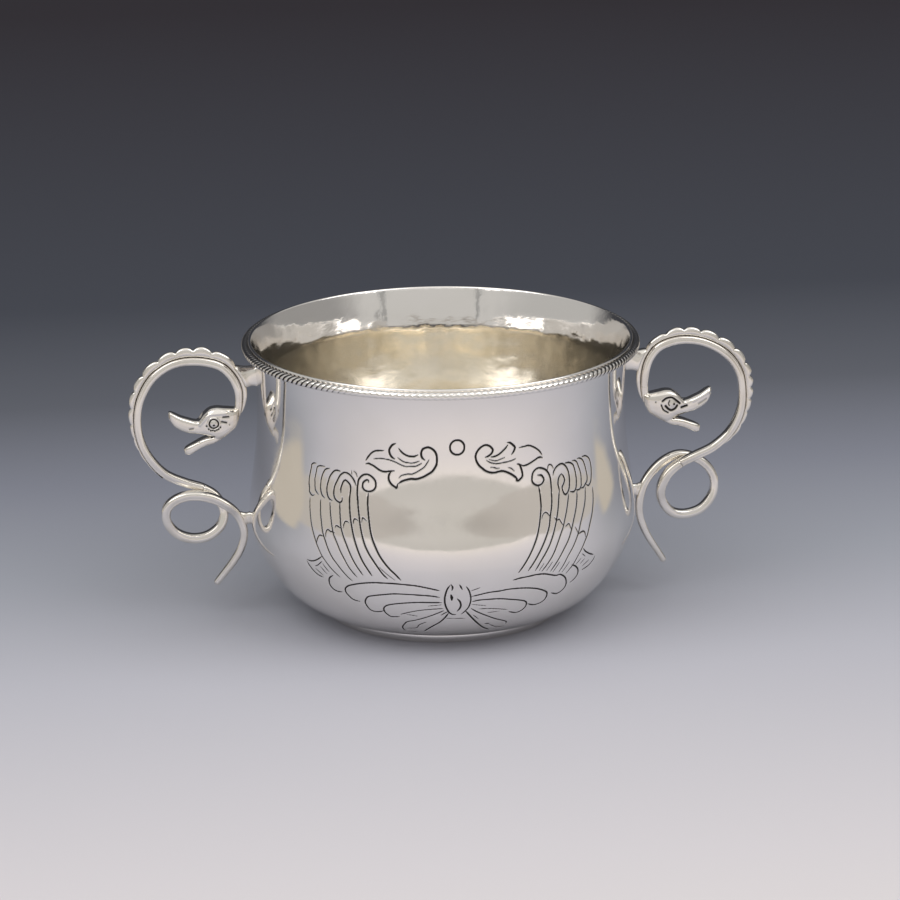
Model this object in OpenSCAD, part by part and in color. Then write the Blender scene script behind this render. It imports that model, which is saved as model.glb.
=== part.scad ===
// Silver caudle cup: a raised bellied bowl on a low foot, with a roped wire round
// its lip and two scroll handles that end in birds' heads. Millimetres, +Z up, the
// origin at the centre of the foot's underside. The handles lie along X and the
// engraved front faces -Y.

/* [Bowl] */
// Height of the cup from the table to the top of its lip
cup_h = 70.8; // [66:0.1:78]
// Outside diameter of the lip, inside the roped wire
lip_d = 96.8; // [92:0.1:104]
// Angle of the lip's flare from upright
lip_flare = 20; // [5:1:30]
// Outside diameter of the neck at its narrowest
neck_d = 92.6; // [84:0.1:95]
// Height of the neck's narrowest ring
neck_z = 54; // [48:0.5:58]
// Largest outside diameter of the belly
belly_d = 97.8; // [92:0.1:104]
// Height of the belly's widest ring
belly_z = 25.5; // [20:0.5:32]
// Diameter of the flat bottom
base_d = 59; // [50:0.5:66]
// Thickness of the raised sheet
wall_t = 0.8; // [0.6:0.05:1.6]

/* [Rim wire] */
// Thickness of the roped wire
rope_d = 2; // [1.4:0.1:2.6]
// Depth of the wire's top below the top of the lip
rope_drop = 0.45; // [0.2:0.05:1]

/* [Foot] */
// Outside diameter of the foot band
foot_d = 61; // [56:0.5:68]
// Height of the foot band
foot_h = 2.3; // [1.4:0.1:4]
// Thickness of the foot band
foot_t = 2.6; // [1.8:0.1:4]

/* [Handles] */
// Reach of the scroll's bar beyond the belly
handle_reach = 28; // [24:0.5:34]
// Height of a handle, from its tail to the top of its bar
handle_h = 59; // [54:0.5:61]
// Depth of the bar's top below the top of the lip
handle_drop = 3.5; // [3:0.1:6]
// Width of the bar, seen from the front
bar_w = 2; // [1.6:0.1:2.6]
// Thickness of the bar from front to back
bar_t = 2.6; // [2:0.1:3.2]
// Room between the two strands of the bar where they cross
cross_gap = 0.25; // [0.1:0.05:0.6]
// Height of the crest's lobes above the bar
crest_h = 2.3; // [1.2:0.1:2.8]
// Thickness of the crest from front to back
crest_t = 1.7; // [1:0.1:2.4]
// Number of lobes along the crest
crest_lobes = 13; // [7:1:15]

/* [Birds' heads] */
// Length of the left head from the nape to the tip of its bill
left_head_l = 17.6; // [14:0.1:20]
// Length of the right head from the nape to the tip of its bill
right_head_l = 17.3; // [14:0.1:20]
// Height of the skull
head_h = 9; // [7:0.1:10]
// Width of the skull from front to back
head_w = 5.4; // [4:0.1:7]
// Diameter of an eye
eye_d = 2.4; // [1.6:0.1:3]
// Upward tilt of the left head's bill
left_head_tilt = 0; // [-6:1:6]
// Upward tilt of the right head's bill
right_head_tilt = 5; // [-2:1:8]

/* [Lugs] */
// Height of the upper lug
upper_lug_h = 5.6; // [4:0.1:7]
// Depth of the upper lug's middle below the top of the lip
upper_lug_drop = 8.4; // [7.5:0.1:10]
// Thickness of the upper lug from front to back
upper_lug_t = 4; // [2:0.1:6]
// Height of the lower lug
lower_lug_h = 3.6; // [2:0.1:5]
// Thickness of the lower lug from front to back
lower_lug_t = 2; // [1.2:0.1:3]
// Gap left for solder between the pieces
solder_gap = 0.05; // [0.02:0.01:0.2]

/* [Hidden] */
$fn = 96;

silver = "#c9ccd2";
cast_silver = "#b5b1ab";

lip_r = lip_d / 2;
neck_r = neck_d / 2;
belly_r = belly_d / 2;
base_r = base_d / 2;

// Steps of a curve of the bowl's outline
wall_steps = 16;
// Steps between two points of a handle's bar
bar_steps = 5;
// Sides of a bar's section and of a head's section
bar_sides = 12;
head_sides = 14;

// Bowl: reach of each curve's handles, as shares of the height that the curve spans
base_ease = 0.46;
belly_ease = 0.33;
neck_ease = 0.4;

function bezier(a, b, c, d, steps) = [
    for (k = [0 : steps])
        let (t = k / steps, s = 1 - t)
        s * s * s * a + 3 * s * s * t * b + 3 * s * t * t * c + t * t * t * d
];

function tail(list) = [for (i = [1 : len(list) - 1]) list[i]];

// Outside of the wall from the edge of the bottom to the top of the lip
lower_rise = belly_z - foot_h;
middle_rise = neck_z - belly_z;
upper_rise = cup_h - neck_z;
lip_dir = [sin(lip_flare), cos(lip_flare)];

outer_wall = concat(
    bezier(
        [base_r, foot_h],
        [base_r + base_ease * lower_rise, foot_h],
        [belly_r, belly_z - belly_ease * lower_rise],
        [belly_r, belly_z], wall_steps),
    tail(bezier(
        [belly_r, belly_z],
        [belly_r, belly_z + belly_ease * middle_rise],
        [neck_r, neck_z - neck_ease * middle_rise],
        [neck_r, neck_z], wall_steps)),
    tail(bezier(
        [neck_r, neck_z],
        [neck_r, neck_z + neck_ease * upper_rise],
        [lip_r, cup_h] - belly_ease * upper_rise * lip_dir,
        [lip_r, cup_h], wall_steps))
);

// Outward normal of the wall at one of its points
function wall_normal(i) =
    let (
        last = len(outer_wall) - 1,
        along = outer_wall[min(i + 1, last)] - outer_wall[max(i - 1, 0)]
    )
    [along[1], -along[0]] / norm(along);

// The wall moved outward by a distance, with its top kept level
function moved_wall(distance) = [
    for (i = [0 : len(outer_wall) - 1])
        i < len(outer_wall) - 1
            ? outer_wall[i] + distance * wall_normal(i)
            : [lip_r + distance / cos(lip_flare), cup_h]
];

function reversed(list) = [for (i = [len(list) - 1 : -1 : 0]) list[i]];

// Everything inside the bowl's outer surface, with the solder's gap added
module bowl_space() {
    rotate_extrude()
        polygon(concat([[0, foot_h]], moved_wall(solder_gap), [[0, cup_h]]));
}

module body_shell() {
    color(silver)
        rotate_extrude()
            polygon(concat(
                [[0, foot_h]],
                outer_wall,
                reversed(moved_wall(-wall_t)),
                [[0, foot_h + wall_t]]));
}

// Roped wire: its middle lies one radius and the solder's gap from the flaring lip
rope_r = rope_d / 2;
rope_z = cup_h - rope_drop - rope_r;
rope_ring_r = lip_r
    + (rope_r + solder_gap - (cup_h - rope_z) * sin(lip_flare)) / cos(lip_flare);

module rim_rope_wire() {
    color(silver)
        rotate_extrude()
            translate([rope_ring_r, rope_z])
                circle(d = rope_d);
}

module foot_ring() {
    color(silver)
        difference() {
            cylinder(d = foot_d, h = foot_h);
            translate([0, 0, -foot_h])
                cylinder(d = foot_d - 2 * foot_t, h = 3 * foot_h);
        }
}

// Handles: each is drawn on the +X side. Its bar starts beside the bird's head, climbs
// along the neck, turns over outward and down, makes a small loop, touches the belly and
// ends in a tail. The bars were bent by hand and differ a little. Each point holds the
// percentage of the reach, outward, and of the height, up from the tail, then the share
// of the side step between the crossing strands and the share of the bar's width.
left_points = [
    [9.3, 74.7, 0, 0.9],
    [7.5, 80.2, 0, 0.9],
    [8.2, 86.3, 0, 1],
    [14.3, 92.4, 0, 1],
    [25.7, 97.1, 0, 1.05],
    [46.1, 99.2, 0, 1.05],
    [65.7, 98, 0, 1],
    [82.9, 92.7, 0, 1],
    [93.9, 84.2, 0, 0.95],
    [97.9, 75.3, 0, 0.95],
    [96.1, 65.9, 0, 1],
    [88.2, 57.1, 0, 1.05],
    [74.6, 49.3, -0.5, 1.1],
    [57.1, 44.7, -1, 1.1],
    [41.1, 41.9, -1, 1.1],
    [29.6, 37.8, -1, 1.1],
    [23.2, 31.7, -0.8, 1.1],
    [26.4, 25.4, -0.45, 1.1],
    [37.9, 21.2, -0.2, 1.1],
    [51.8, 20.5, 0.1, 1.1],
    [65.7, 23.2, 0.4, 1.1],
    [74.6, 29, 0.7, 1.1],
    [74.6, 34.9, 0.9, 1.1],
    [65.7, 39, 1, 1.1],
    [51.8, 40.5, 1, 1.1],
    [35.7, 39.2, 1, 1.1],
    [21.1, 35.1, 0.6, 1.05],
    [10.7, 29.7, 0, 1],
    [5.7, 22.7, 0, 0.95],
    [8.2, 15.9, 0, 0.9],
    [16.1, 9.2, 0, 0.85],
    [31.1, 0.2, 0, 0.7]
];
right_points = [
    [11.8, 73.2, 0, 0.9],
    [10.4, 79.3, 0, 0.9],
    [11.4, 86.3, 0, 1],
    [15.7, 92.5, 0, 1],
    [25.4, 97.5, 0, 1.05],
    [44.3, 99.8, 0, 1.05],
    [65.4, 98.1, 0, 1],
    [84.6, 92.7, 0, 1],
    [96.4, 84.9, 0, 0.95],
    [100, 75.8, 0, 0.95],
    [98.2, 66.3, 0, 1],
    [89.3, 57.8, 0, 1.05],
    [73.9, 51.7, -0.5, 1.1],
    [57.5, 48.5, -1, 1.1],
    [43.2, 45.3, -1, 1.1],
    [31.8, 40.8, -1, 1.1],
    [25.4, 34.1, -0.8, 1.1],
    [27.1, 28, -0.45, 1.1],
    [36.1, 22.7, -0.2, 1.1],
    [49.3, 21.2, 0.1, 1.05],
    [63.9, 23.2, 0.4, 1],
    [73.9, 28.6, 0.7, 1],
    [76.1, 35.1, 0.9, 1],
    [70.7, 41.2, 1, 1],
    [58.2, 45.9, 1, 1],
    [42.5, 47.5, 1, 1],
    [26.8, 44.2, 0.8, 1],
    [13.2, 37.8, 0.2, 0.95],
    [7.1, 30.3, 0, 0.95],
    [6.4, 22.5, 0, 0.9],
    [12.5, 13.7, 0, 0.85],
    [28.6, 1, 0, 0.7]
];

// Points where the bar passes to the next piece, and where the crest ends
neck_joint = 1;
loop_joint = 14;
crest_end = 12;
bar_end = len(left_points) - 1;
// Points between which each bar meets its lower lug
left_lug_point = 27.2;
right_lug_point = 27.6;
// Largest share of the bar's width among the points
widest_share = 1.1;

handle_z = cup_h - handle_drop - handle_h;
side_step = (bar_t * widest_share + cross_gap) / 2;

function spline_at(points, i, t) =
    let (
        last = len(points) - 1,
        b = points[i],
        c = points[min(i + 1, last)],
        a = i > 0 ? points[i - 1] : 2 * b - c,
        d = i + 2 <= last ? points[i + 2] : 2 * c - b
    )
    (2 * b + (c - a) * t + (2 * a - 5 * b + 4 * c - d) * t * t
        + (3 * b - a - 3 * c + d) * t * t * t) / 2;

function spline(points, steps) = [
    for (i = [0 : len(points) - 2])
        for (k = [0 : steps - 1])
            spline_at(points, i, k / steps),
    points[len(points) - 1]
];

// The reach is measured from the belly low on a handle and from the neck's wall, a step
// out from it, high on a handle. Between the two lugs it passes from one to the other.
neck_step = 2.32;
lower_lug_share = 0.28;
upper_lug_share = 0.86;

function wall_r_at(z) = lookup(z, [for (p = outer_wall) [p[1], p[0]]]);

upper_start_r = wall_r_at(cup_h - upper_lug_drop) + neck_step;

function start_r(share) =
    lookup(share, [[lower_lug_share, belly_r], [upper_lug_share, upper_start_r]]);

// A bar's middle line: outward distance, height, side step and width
function bar_line(points) = [
    for (p = spline(points, bar_steps))
        [
            start_r(p[1] / 100) + p[0] / 100 * handle_reach,
            handle_z + p[1] / 100 * handle_h,
            p[2] * side_step,
            p[3] * bar_w
        ]
];

left_bar = bar_line(left_points);
right_bar = bar_line(right_points);

// Direction to a bar's left, which is the outside of its turn over the top
function bar_left(bar, i) =
    let (
        ahead = bar[min(i + 1, len(bar) - 1)] - bar[max(i - 1, 0)],
        length = norm([ahead[0], ahead[1]])
    )
    [-ahead[1], ahead[0]] / length;

// A point beside a bar, at a distance to its left
function beside_bar(bar, i, distance) = [bar[i][0], bar[i][1]] + distance * bar_left(bar, i);

// Coordinate of a section with softly squared sides
squareness = 0.75;
head_squareness = 0.5;
function soft(value, power = squareness) = sign(value) * pow(abs(value), power);

function bar_ring(bar, i) =
    let (left = bar_left(bar, i), half_w = bar[i][3] / 2, half_t = half_w * bar_t / bar_w)
    [
        for (k = [0 : bar_sides - 1])
            let (
                turn = 360 * k / bar_sides,
                out = half_w * soft(cos(turn)),
                across = half_t * soft(sin(turn))
            )
            [bar[i][0] + out * left[0], bar[i][2] + across, bar[i][1] + out * left[1]]
    ];

function ring_faces(rings, sides) = [
    [for (k = [sides - 1 : -1 : 0]) k],
    [for (k = [0 : sides - 1]) (rings - 1) * sides + k],
    for (i = [0 : rings - 2])
        for (k = [0 : sides - 1])
            let (a = i * sides + k, b = i * sides + (k + 1) % sides)
            each [[a, b, b + sides], [a, b + sides, a + sides]]
];

module lofted(rings) {
    polyhedron(
        points = [for (ring = rings) each ring],
        faces = ring_faces(len(rings), len(rings[0])));
}

// A bar's solid between two of its points
module bar_piece(bar, first, last) {
    lofted([for (i = [first * bar_steps : last * bar_steps]) bar_ring(bar, i)]);
}

module scroll_bar(bar) {
    color(cast_silver)
        bar_piece(bar, neck_joint, loop_joint);
}

module tail_loop(bar) {
    color(cast_silver)
        bar_piece(bar, loop_joint, bar_end);
}

// Crest: smooth and thin beside the head and the lug, then a row of lobes over the
// top that grows lower down the outer side
lobe_start = 3;
tip_run = 1.5;
smooth_share = 0.55;
valley_share = 0.62;
lobe_roundness = 0.7;
// How soon the lobes reach their full height, from the crest's end up
left_fade = 1.75;
right_fade = 2.8;

function crest_height(p, fade_rate) =
    p < lobe_start
        ? crest_h * smooth_share * min(1, p / tip_run)
        : let (
            run = (p - lobe_start) / (crest_end - lobe_start),
            lobe = pow(abs(sin(180 * crest_lobes * run)), lobe_roundness),
            rise = min(1, smooth_share + run * crest_lobes),
            fade = min(1, fade_rate * (1 - run))
        )
        crest_h * rise * fade * (valley_share + (1 - valley_share) * lobe);

// The crest's edge, with more steps than the bar has, and room for solder under it
crest_fine = 3;
crest_steps = bar_steps * crest_fine;

function crest_edge(bar, k, room, fade_rate) =
    let (
        i = floor(k / crest_fine),
        t = k / crest_fine - i,
        height = room + crest_height(k / crest_steps, fade_rate)
    )
    (1 - t) * beside_bar(bar, i, bar[i][3] / 2 + height)
        + t * beside_bar(bar, i + 1, bar[i + 1][3] / 2 + height);

module crest_outline(bar, fade_rate) {
    polygon(concat(
        [for (k = [0 : crest_end * crest_steps]) crest_edge(bar, k, solder_gap, fade_rate)],
        [
            for (i = [crest_end * bar_steps - 1 : -1 : 1])
                beside_bar(bar, i, bar[i][3] / 2 + solder_gap)
        ]));
}

// A flat outline, drawn outward and upward, made into a plate about the handle's plane
module plate(thickness) {
    rotate([90, 0, 0])
        linear_extrude(thickness, center = true)
            children();
}

module crest_strip(bar, fade_rate) {
    color(cast_silver)
        plate(crest_t)
            crest_outline(bar, fade_rate);
}

// Birds' heads: each station holds the share of the head's length from the nape, and
// the shares of the skull's height of its top and underside and of the width
skull_stations = [
    [0, 0.34, 0, 0.5],
    [0.05, 0.35, -0.2, 0.8],
    [0.12, 0.36, -0.32, 0.93],
    [0.22, 0.38, -0.47, 1],
    [0.32, 0.4, -0.54, 1],
    [0.42, 0.36, -0.43, 0.97],
    [0.51, 0.22, -0.38, 0.88],
    [0.58, 0.05, -0.35, 0.78],
    [0.64, 0.04, -0.33, 0.74],
    [0.72, 0.09, -0.31, 0.72],
    [0.82, 0.16, -0.24, 0.7],
    [0.91, 0.25, -0.13, 0.66],
    [0.965, 0.3, 0, 0.54],
    [1, 0.3, 0.1, 0.3]
];
lower_bill_stations = [
    [0.25, -0.28, -0.5, 0.8],
    [0.36, -0.4, -0.62, 0.84],
    [0.46, -0.45, -0.68, 0.78],
    [0.56, -0.52, -0.77, 0.7],
    [0.66, -0.62, -0.89, 0.62],
    [0.72, -0.68, -0.95, 0.56],
    [0.77, -0.74, -0.94, 0.44],
    [0.795, -0.79, -0.89, 0.2]
];
station_steps = 2;

// The nape lies below the bar's first point by this share of the skull's height
nape_share = 0.13;
// Place of an eye, in shares of the head's length and height, and how far it is sunk
eye_share = [0.37, -0.03];
eye_sink = 0.3;

function station_ring(s, length) = [
    for (k = [0 : head_sides - 1])
        let (
            turn = 360 * k / head_sides,
            middle = (s[1] + s[2]) / 2,
            half = (s[1] - s[2]) / 2
        )
        [
            s[0] * length,
            head_w / 2 * s[3] * soft(sin(turn), head_squareness),
            head_h * (middle + half * soft(cos(turn), head_squareness))
        ]
];

module station_loft(stations, length) {
    lofted([for (s = spline(stations, station_steps)) station_ring(s, length)]);
}

// Skull, open bill and eyes, from the nape outward
module head_form(length) {
    station_loft(skull_stations, length);
    station_loft(lower_bill_stations, length);
    for (side = [-1, 1])
        translate([eye_share[0] * length, side * (head_w / 2 - eye_d * eye_sink), eye_share[1] * head_h])
            sphere(d = eye_d, $fn = 12);
}

module bird_head(bar, length, tilt) {
    color(cast_silver) {
        bar_piece(bar, 0, neck_joint);
        translate([bar[neck_joint * bar_steps][0], 0, bar[0][1] - nape_share * head_h])
            rotate([0, -tilt, 0])
                head_form(length);
    }
}

// A lug: a block from inside the wall out to a bar, cut back to the bowl and to the
// outline that is given
module lug(bottom, height, thickness, outer_x) {
    inner_x = neck_r - wall_t;
    difference() {
        plate(thickness)
            difference() {
                translate([inner_x, bottom])
                    square([outer_x - inner_x, height]);
                children();
            }
        bowl_space();
    }
}

// Points of the bar and crest that the upper lug is cut back to
upper_lug_first = 1;
upper_lug_last = 5;
// Point of the bar that the upper lug reaches out to
upper_lug_point = 2;

module upper_lug(bar, fade_rate) {
    edge = [
        for (k = [upper_lug_first * crest_steps : upper_lug_last * crest_steps])
            crest_edge(bar, k, 2 * solder_gap, fade_rate)
    ];
    far_side = [
        for (i = [upper_lug_last * bar_steps : -1 : upper_lug_first * bar_steps])
            beside_bar(bar, i, -bar[i][3])
    ];
    color(cast_silver)
        lug(cup_h - upper_lug_drop - upper_lug_h / 2, upper_lug_h, upper_lug_t,
                bar[upper_lug_point * bar_steps][0])
            polygon(concat(edge, far_side));
}

// Points of the bar each side of the lower lug that it is cut back to
lower_lug_span = 2;

module lower_lug(bar, point) {
    spot = bar[round(point * bar_steps)];
    steps = [
        round((point - lower_lug_span) * bar_steps) : round((point + lower_lug_span) * bar_steps)
    ];
    edge = [for (i = steps) beside_bar(bar, i, -bar[i][3] / 2 - solder_gap)];
    far_side = [for (i = steps) beside_bar(bar, i, bar[i][3])];
    color(cast_silver)
        lug(spot[1] - lower_lug_h / 2, lower_lug_h, lower_lug_t, spot[0])
            polygon(concat(edge, reversed(far_side)));
}

// The left handle, turned half round from the side where it is drawn
module left_side() {
    rotate([0, 0, 180])
        children();
}

body_shell();
rim_rope_wire();
foot_ring();
left_side() scroll_bar(left_bar);  // left_scroll_bar
left_side() crest_strip(left_bar, left_fade);  // left_crest_strip
left_side() bird_head(left_bar, left_head_l, left_head_tilt);  // left_bird_head
left_side() tail_loop(left_bar);  // left_tail_loop
left_side() upper_lug(left_bar, left_fade);  // left_upper_lug
left_side() lower_lug(left_bar, left_lug_point);  // left_lower_lug
scroll_bar(right_bar);  // right_scroll_bar
crest_strip(right_bar, right_fade);  // right_crest_strip
bird_head(right_bar, right_head_l, right_head_tilt);  // right_bird_head
tail_loop(right_bar);  // right_tail_loop
upper_lug(right_bar, right_fade);  // right_upper_lug
lower_lug(right_bar, right_lug_point);  // right_lower_lug
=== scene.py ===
import math
from itertools import product

import bpy
import numpy as np
from mathutils import Matrix, Vector


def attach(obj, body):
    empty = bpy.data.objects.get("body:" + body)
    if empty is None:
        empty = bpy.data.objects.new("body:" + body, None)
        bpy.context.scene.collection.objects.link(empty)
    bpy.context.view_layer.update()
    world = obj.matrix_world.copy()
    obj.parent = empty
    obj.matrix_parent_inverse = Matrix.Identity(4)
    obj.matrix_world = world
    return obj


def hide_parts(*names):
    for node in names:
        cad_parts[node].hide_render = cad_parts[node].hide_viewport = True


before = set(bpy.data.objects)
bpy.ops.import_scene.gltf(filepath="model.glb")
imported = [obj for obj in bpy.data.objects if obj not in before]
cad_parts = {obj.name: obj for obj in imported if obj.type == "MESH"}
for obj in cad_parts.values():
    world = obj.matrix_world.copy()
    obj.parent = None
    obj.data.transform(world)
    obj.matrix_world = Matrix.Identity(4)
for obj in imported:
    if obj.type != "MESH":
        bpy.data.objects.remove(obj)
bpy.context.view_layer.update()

MM = 0.001
SEED = 11
TINY = 1e-9

# Bowl
CUP_H = 70.8
LIP_R = 48.4
LIP_FLARE = math.radians(20)
NECK_R = 46.3
NECK_Z = 54.0
BELLY_R = 48.9
BELLY_Z = 25.5
BASE_R = 29.5
WALL_T = 0.8
BASE_EASE = 0.46
BELLY_EASE = 0.33
LIP_EASE = 0.33
SIDE_EASE = 0.28
UNDER_NECK_EASE = 0.46
NECK_EASE = 0.4

# Rim wire
ROPE_R = 1.0
ROPE_DROP = 0.45
ROPE_TURNS = 64
SOLDER_GAP = 0.05

# Foot
FOOT_R = 30.5
FOOT_H = 2.3
FOOT_T = 2.6

# Handles
HANDLE_REACH = 28.0
HANDLE_H = 59.0
HANDLE_Z = 8.3
BAR_W = 2.0
BAR_T = 2.6
SIDE_STEP = 1.555
NECK_STEP = 2.32
UPPER_LUG_Z = 62.4
UPPER_LUG_H = 5.6
UPPER_LUG_T = 4.0
LOWER_LUG_H = 3.6
LOWER_LUG_T = 2.0
CREST_T = 1.7
HEAD_H = 9.0
HEAD_W = 5.4
LEFT_HEAD_L = 17.6
RIGHT_HEAD_L = 17.3
LEFT_HEAD_TILT = 0
RIGHT_HEAD_TILT = 5


def srgb(red, green, blue):
    """Linear colour for display values from 0 to 255."""
    parts = [value / 255 for value in (red, green, blue)]
    linear = [p / 12.92 if p <= 0.04045 else ((p + 0.055) / 1.055) ** 2.4 for p in parts]
    return (*linear, 1.0)


# Meshes


def make_piece(name, verts, faces, node, slot, material):
    """A smooth mesh piece, from points in millimetres, that stands for a node of the frame."""
    mesh = bpy.data.meshes.new(name)
    mesh.from_pydata((np.asarray(verts) * MM).tolist(), [], faces)
    mesh.polygons.foreach_set("use_smooth", [True] * len(mesh.polygons))
    mesh.update()
    piece = bpy.data.objects.new(name, mesh)
    bpy.context.scene.collection.objects.link(piece)
    mesh.materials.append(material)
    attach(piece, "root")
    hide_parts(node)
    return piece


def set_values(piece, name, values):
    """Keeps a number for each point of a piece, which its material reads by name."""
    layer = piece.data.attributes.new(name, "FLOAT", "POINT")
    layer.data.foreach_set("value", np.asarray(values, np.float32))


def grid_faces(rows, columns):
    """Faces of rows of points that close round on themselves."""
    ids = np.arange(rows * columns).reshape(rows, columns)
    ahead = np.roll(ids, -1, axis=1)
    return np.stack([ids[:-1], ahead[:-1], ahead[1:], ids[1:]], axis=-1).reshape(-1, 4).tolist()


def ring_faces(rows, columns):
    """Faces of rows of points that close round on themselves both ways."""
    ids = np.arange(rows * columns).reshape(rows, columns)
    ahead = np.roll(ids, -1, axis=0)
    quads = np.stack([ids, ahead, np.roll(ahead, -1, axis=1), np.roll(ids, -1, axis=1)], axis=-1)
    return quads.reshape(-1, 4).tolist()


def outward(verts, faces):
    """The same faces, turned if they look inward."""
    points = np.asarray(verts)
    volume = 0.0
    for face in faces:
        a = points[face[0]]
        for second, third in zip(face[1:], face[2:]):
            volume += np.dot(a, np.cross(points[second], points[third]))
    return faces if volume > 0 else [list(reversed(face)) for face in faces]


def loft(rings):
    """Points and faces of a closed solid through rings of points."""
    rings = np.asarray(rings)
    count, sides = rings.shape[:2]
    verts = rings.reshape(-1, 3)
    faces = grid_faces(count, sides)
    faces.append(list(range(sides - 1, -1, -1)))
    faces.append(list(range((count - 1) * sides, count * sides)))
    return verts, outward(verts, faces)


def joined(*parts):
    """Points and faces of several solids as one list of each."""
    verts, faces, start = [], [], 0
    for part_verts, part_faces in parts:
        verts.append(np.asarray(part_verts))
        faces += [[index + start for index in face] for face in part_faces]
        start += len(part_verts)
    return np.vstack(verts), faces


# Curves


def bezier(a, b, c, d, steps):
    """A curve from a to d that starts towards b and arrives from c."""
    a, b, c, d = (np.asarray(point, float) for point in (a, b, c, d))
    t = np.linspace(0, 1, steps + 1)[:, None]
    s = 1 - t
    return s**3 * a + 3 * s * s * t * b + 3 * s * t * t * c + t**3 * d


def spline(points, steps):
    """A smooth line through points, with a row for each step between two of them."""
    p = np.asarray(points, float)
    p = np.vstack([2 * p[0] - p[1], p, 2 * p[-1] - p[-2]])
    t = np.arange(steps)[:, None] / steps
    rows = [
        (2 * b + (c - a) * t + (2 * a - 5 * b + 4 * c - d) * t**2 + (3 * b - a - 3 * c + d) * t**3) / 2
        for a, b, c, d in zip(p, p[1:], p[2:], p[3:])
    ]
    return np.vstack([*rows, p[-2:-1]])


def soft(value, power):
    """Coordinate of a section with softly squared sides."""
    return np.sign(value) * np.abs(value) ** power


def smoothstep(low, high, value):
    """Smooth change from 0 at low to 1 at high."""
    t = np.clip((np.asarray(value, float) - low) / (high - low), 0, 1)
    return t * t * (3 - 2 * t)


# Hammer marks: how many of them repeat each way, and how sharp the ridges between them are
LATTICE = 32
SHARPNESS = 9.0


def dimples(points, size, seed):
    """Hammer marks: low in the middle of each mark and high between marks."""
    table = np.random.default_rng(seed).random((LATTICE, LATTICE, LATTICE, 3))
    cell = np.floor(points / size).astype(int)
    total = np.zeros(len(points))
    for offset in product((-1, 0, 1), repeat=3):
        near = cell + np.array(offset)
        spot = near % LATTICE
        centre = (near + table[spot[:, 0], spot[:, 1], spot[:, 2]]) * size
        total += np.exp(-SHARPNESS * ((points - centre) ** 2).sum(axis=1) / size**2)
    return -np.log(total + TINY) / SHARPNESS


# The bowl's wall, outside, from the edge of the bottom to the lip
CURVE_STEPS = 240
lower_rise = BELLY_Z - FOOT_H
middle_rise = NECK_Z - BELLY_Z
upper_rise = CUP_H - NECK_Z
lip_dir = np.array([math.sin(LIP_FLARE), math.cos(LIP_FLARE)])
lip = np.array([LIP_R, CUP_H])
wall = np.vstack([
    bezier(
        (BASE_R, FOOT_H),
        (BASE_R + BASE_EASE * lower_rise, FOOT_H),
        (BELLY_R, BELLY_Z - BELLY_EASE * lower_rise),
        (BELLY_R, BELLY_Z), CURVE_STEPS),
    bezier(
        (BELLY_R, BELLY_Z),
        (BELLY_R, BELLY_Z + SIDE_EASE * middle_rise),
        (NECK_R, NECK_Z - UNDER_NECK_EASE * middle_rise),
        (NECK_R, NECK_Z), CURVE_STEPS)[1:],
    bezier(
        (NECK_R, NECK_Z),
        (NECK_R, NECK_Z + NECK_EASE * upper_rise),
        lip - LIP_EASE * upper_rise * lip_dir,
        lip, CURVE_STEPS)[1:],
])
wall_along = np.gradient(wall, axis=0)
wall_along /= np.linalg.norm(wall_along, axis=1)[:, None]
wall_out = np.stack([wall_along[:, 1], -wall_along[:, 0]], axis=1)
wall_s = np.concatenate([[0], np.cumsum(np.linalg.norm(np.diff(wall, axis=0), axis=1))])


def wall_at(s):
    """Points of the wall's outside and the outward directions there, at distances along it."""
    place = np.stack([np.interp(s, wall_s, wall[:, k]) for k in (0, 1)], axis=-1)
    out = np.stack([np.interp(s, wall_s, wall_out[:, k]) for k in (0, 1)], axis=-1)
    return place, out / np.linalg.norm(out, axis=-1)[..., None]


def wall_r(z):
    """Radius of the wall's outside at a height."""
    return np.interp(z, wall[:, 1], wall[:, 0])


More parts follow.
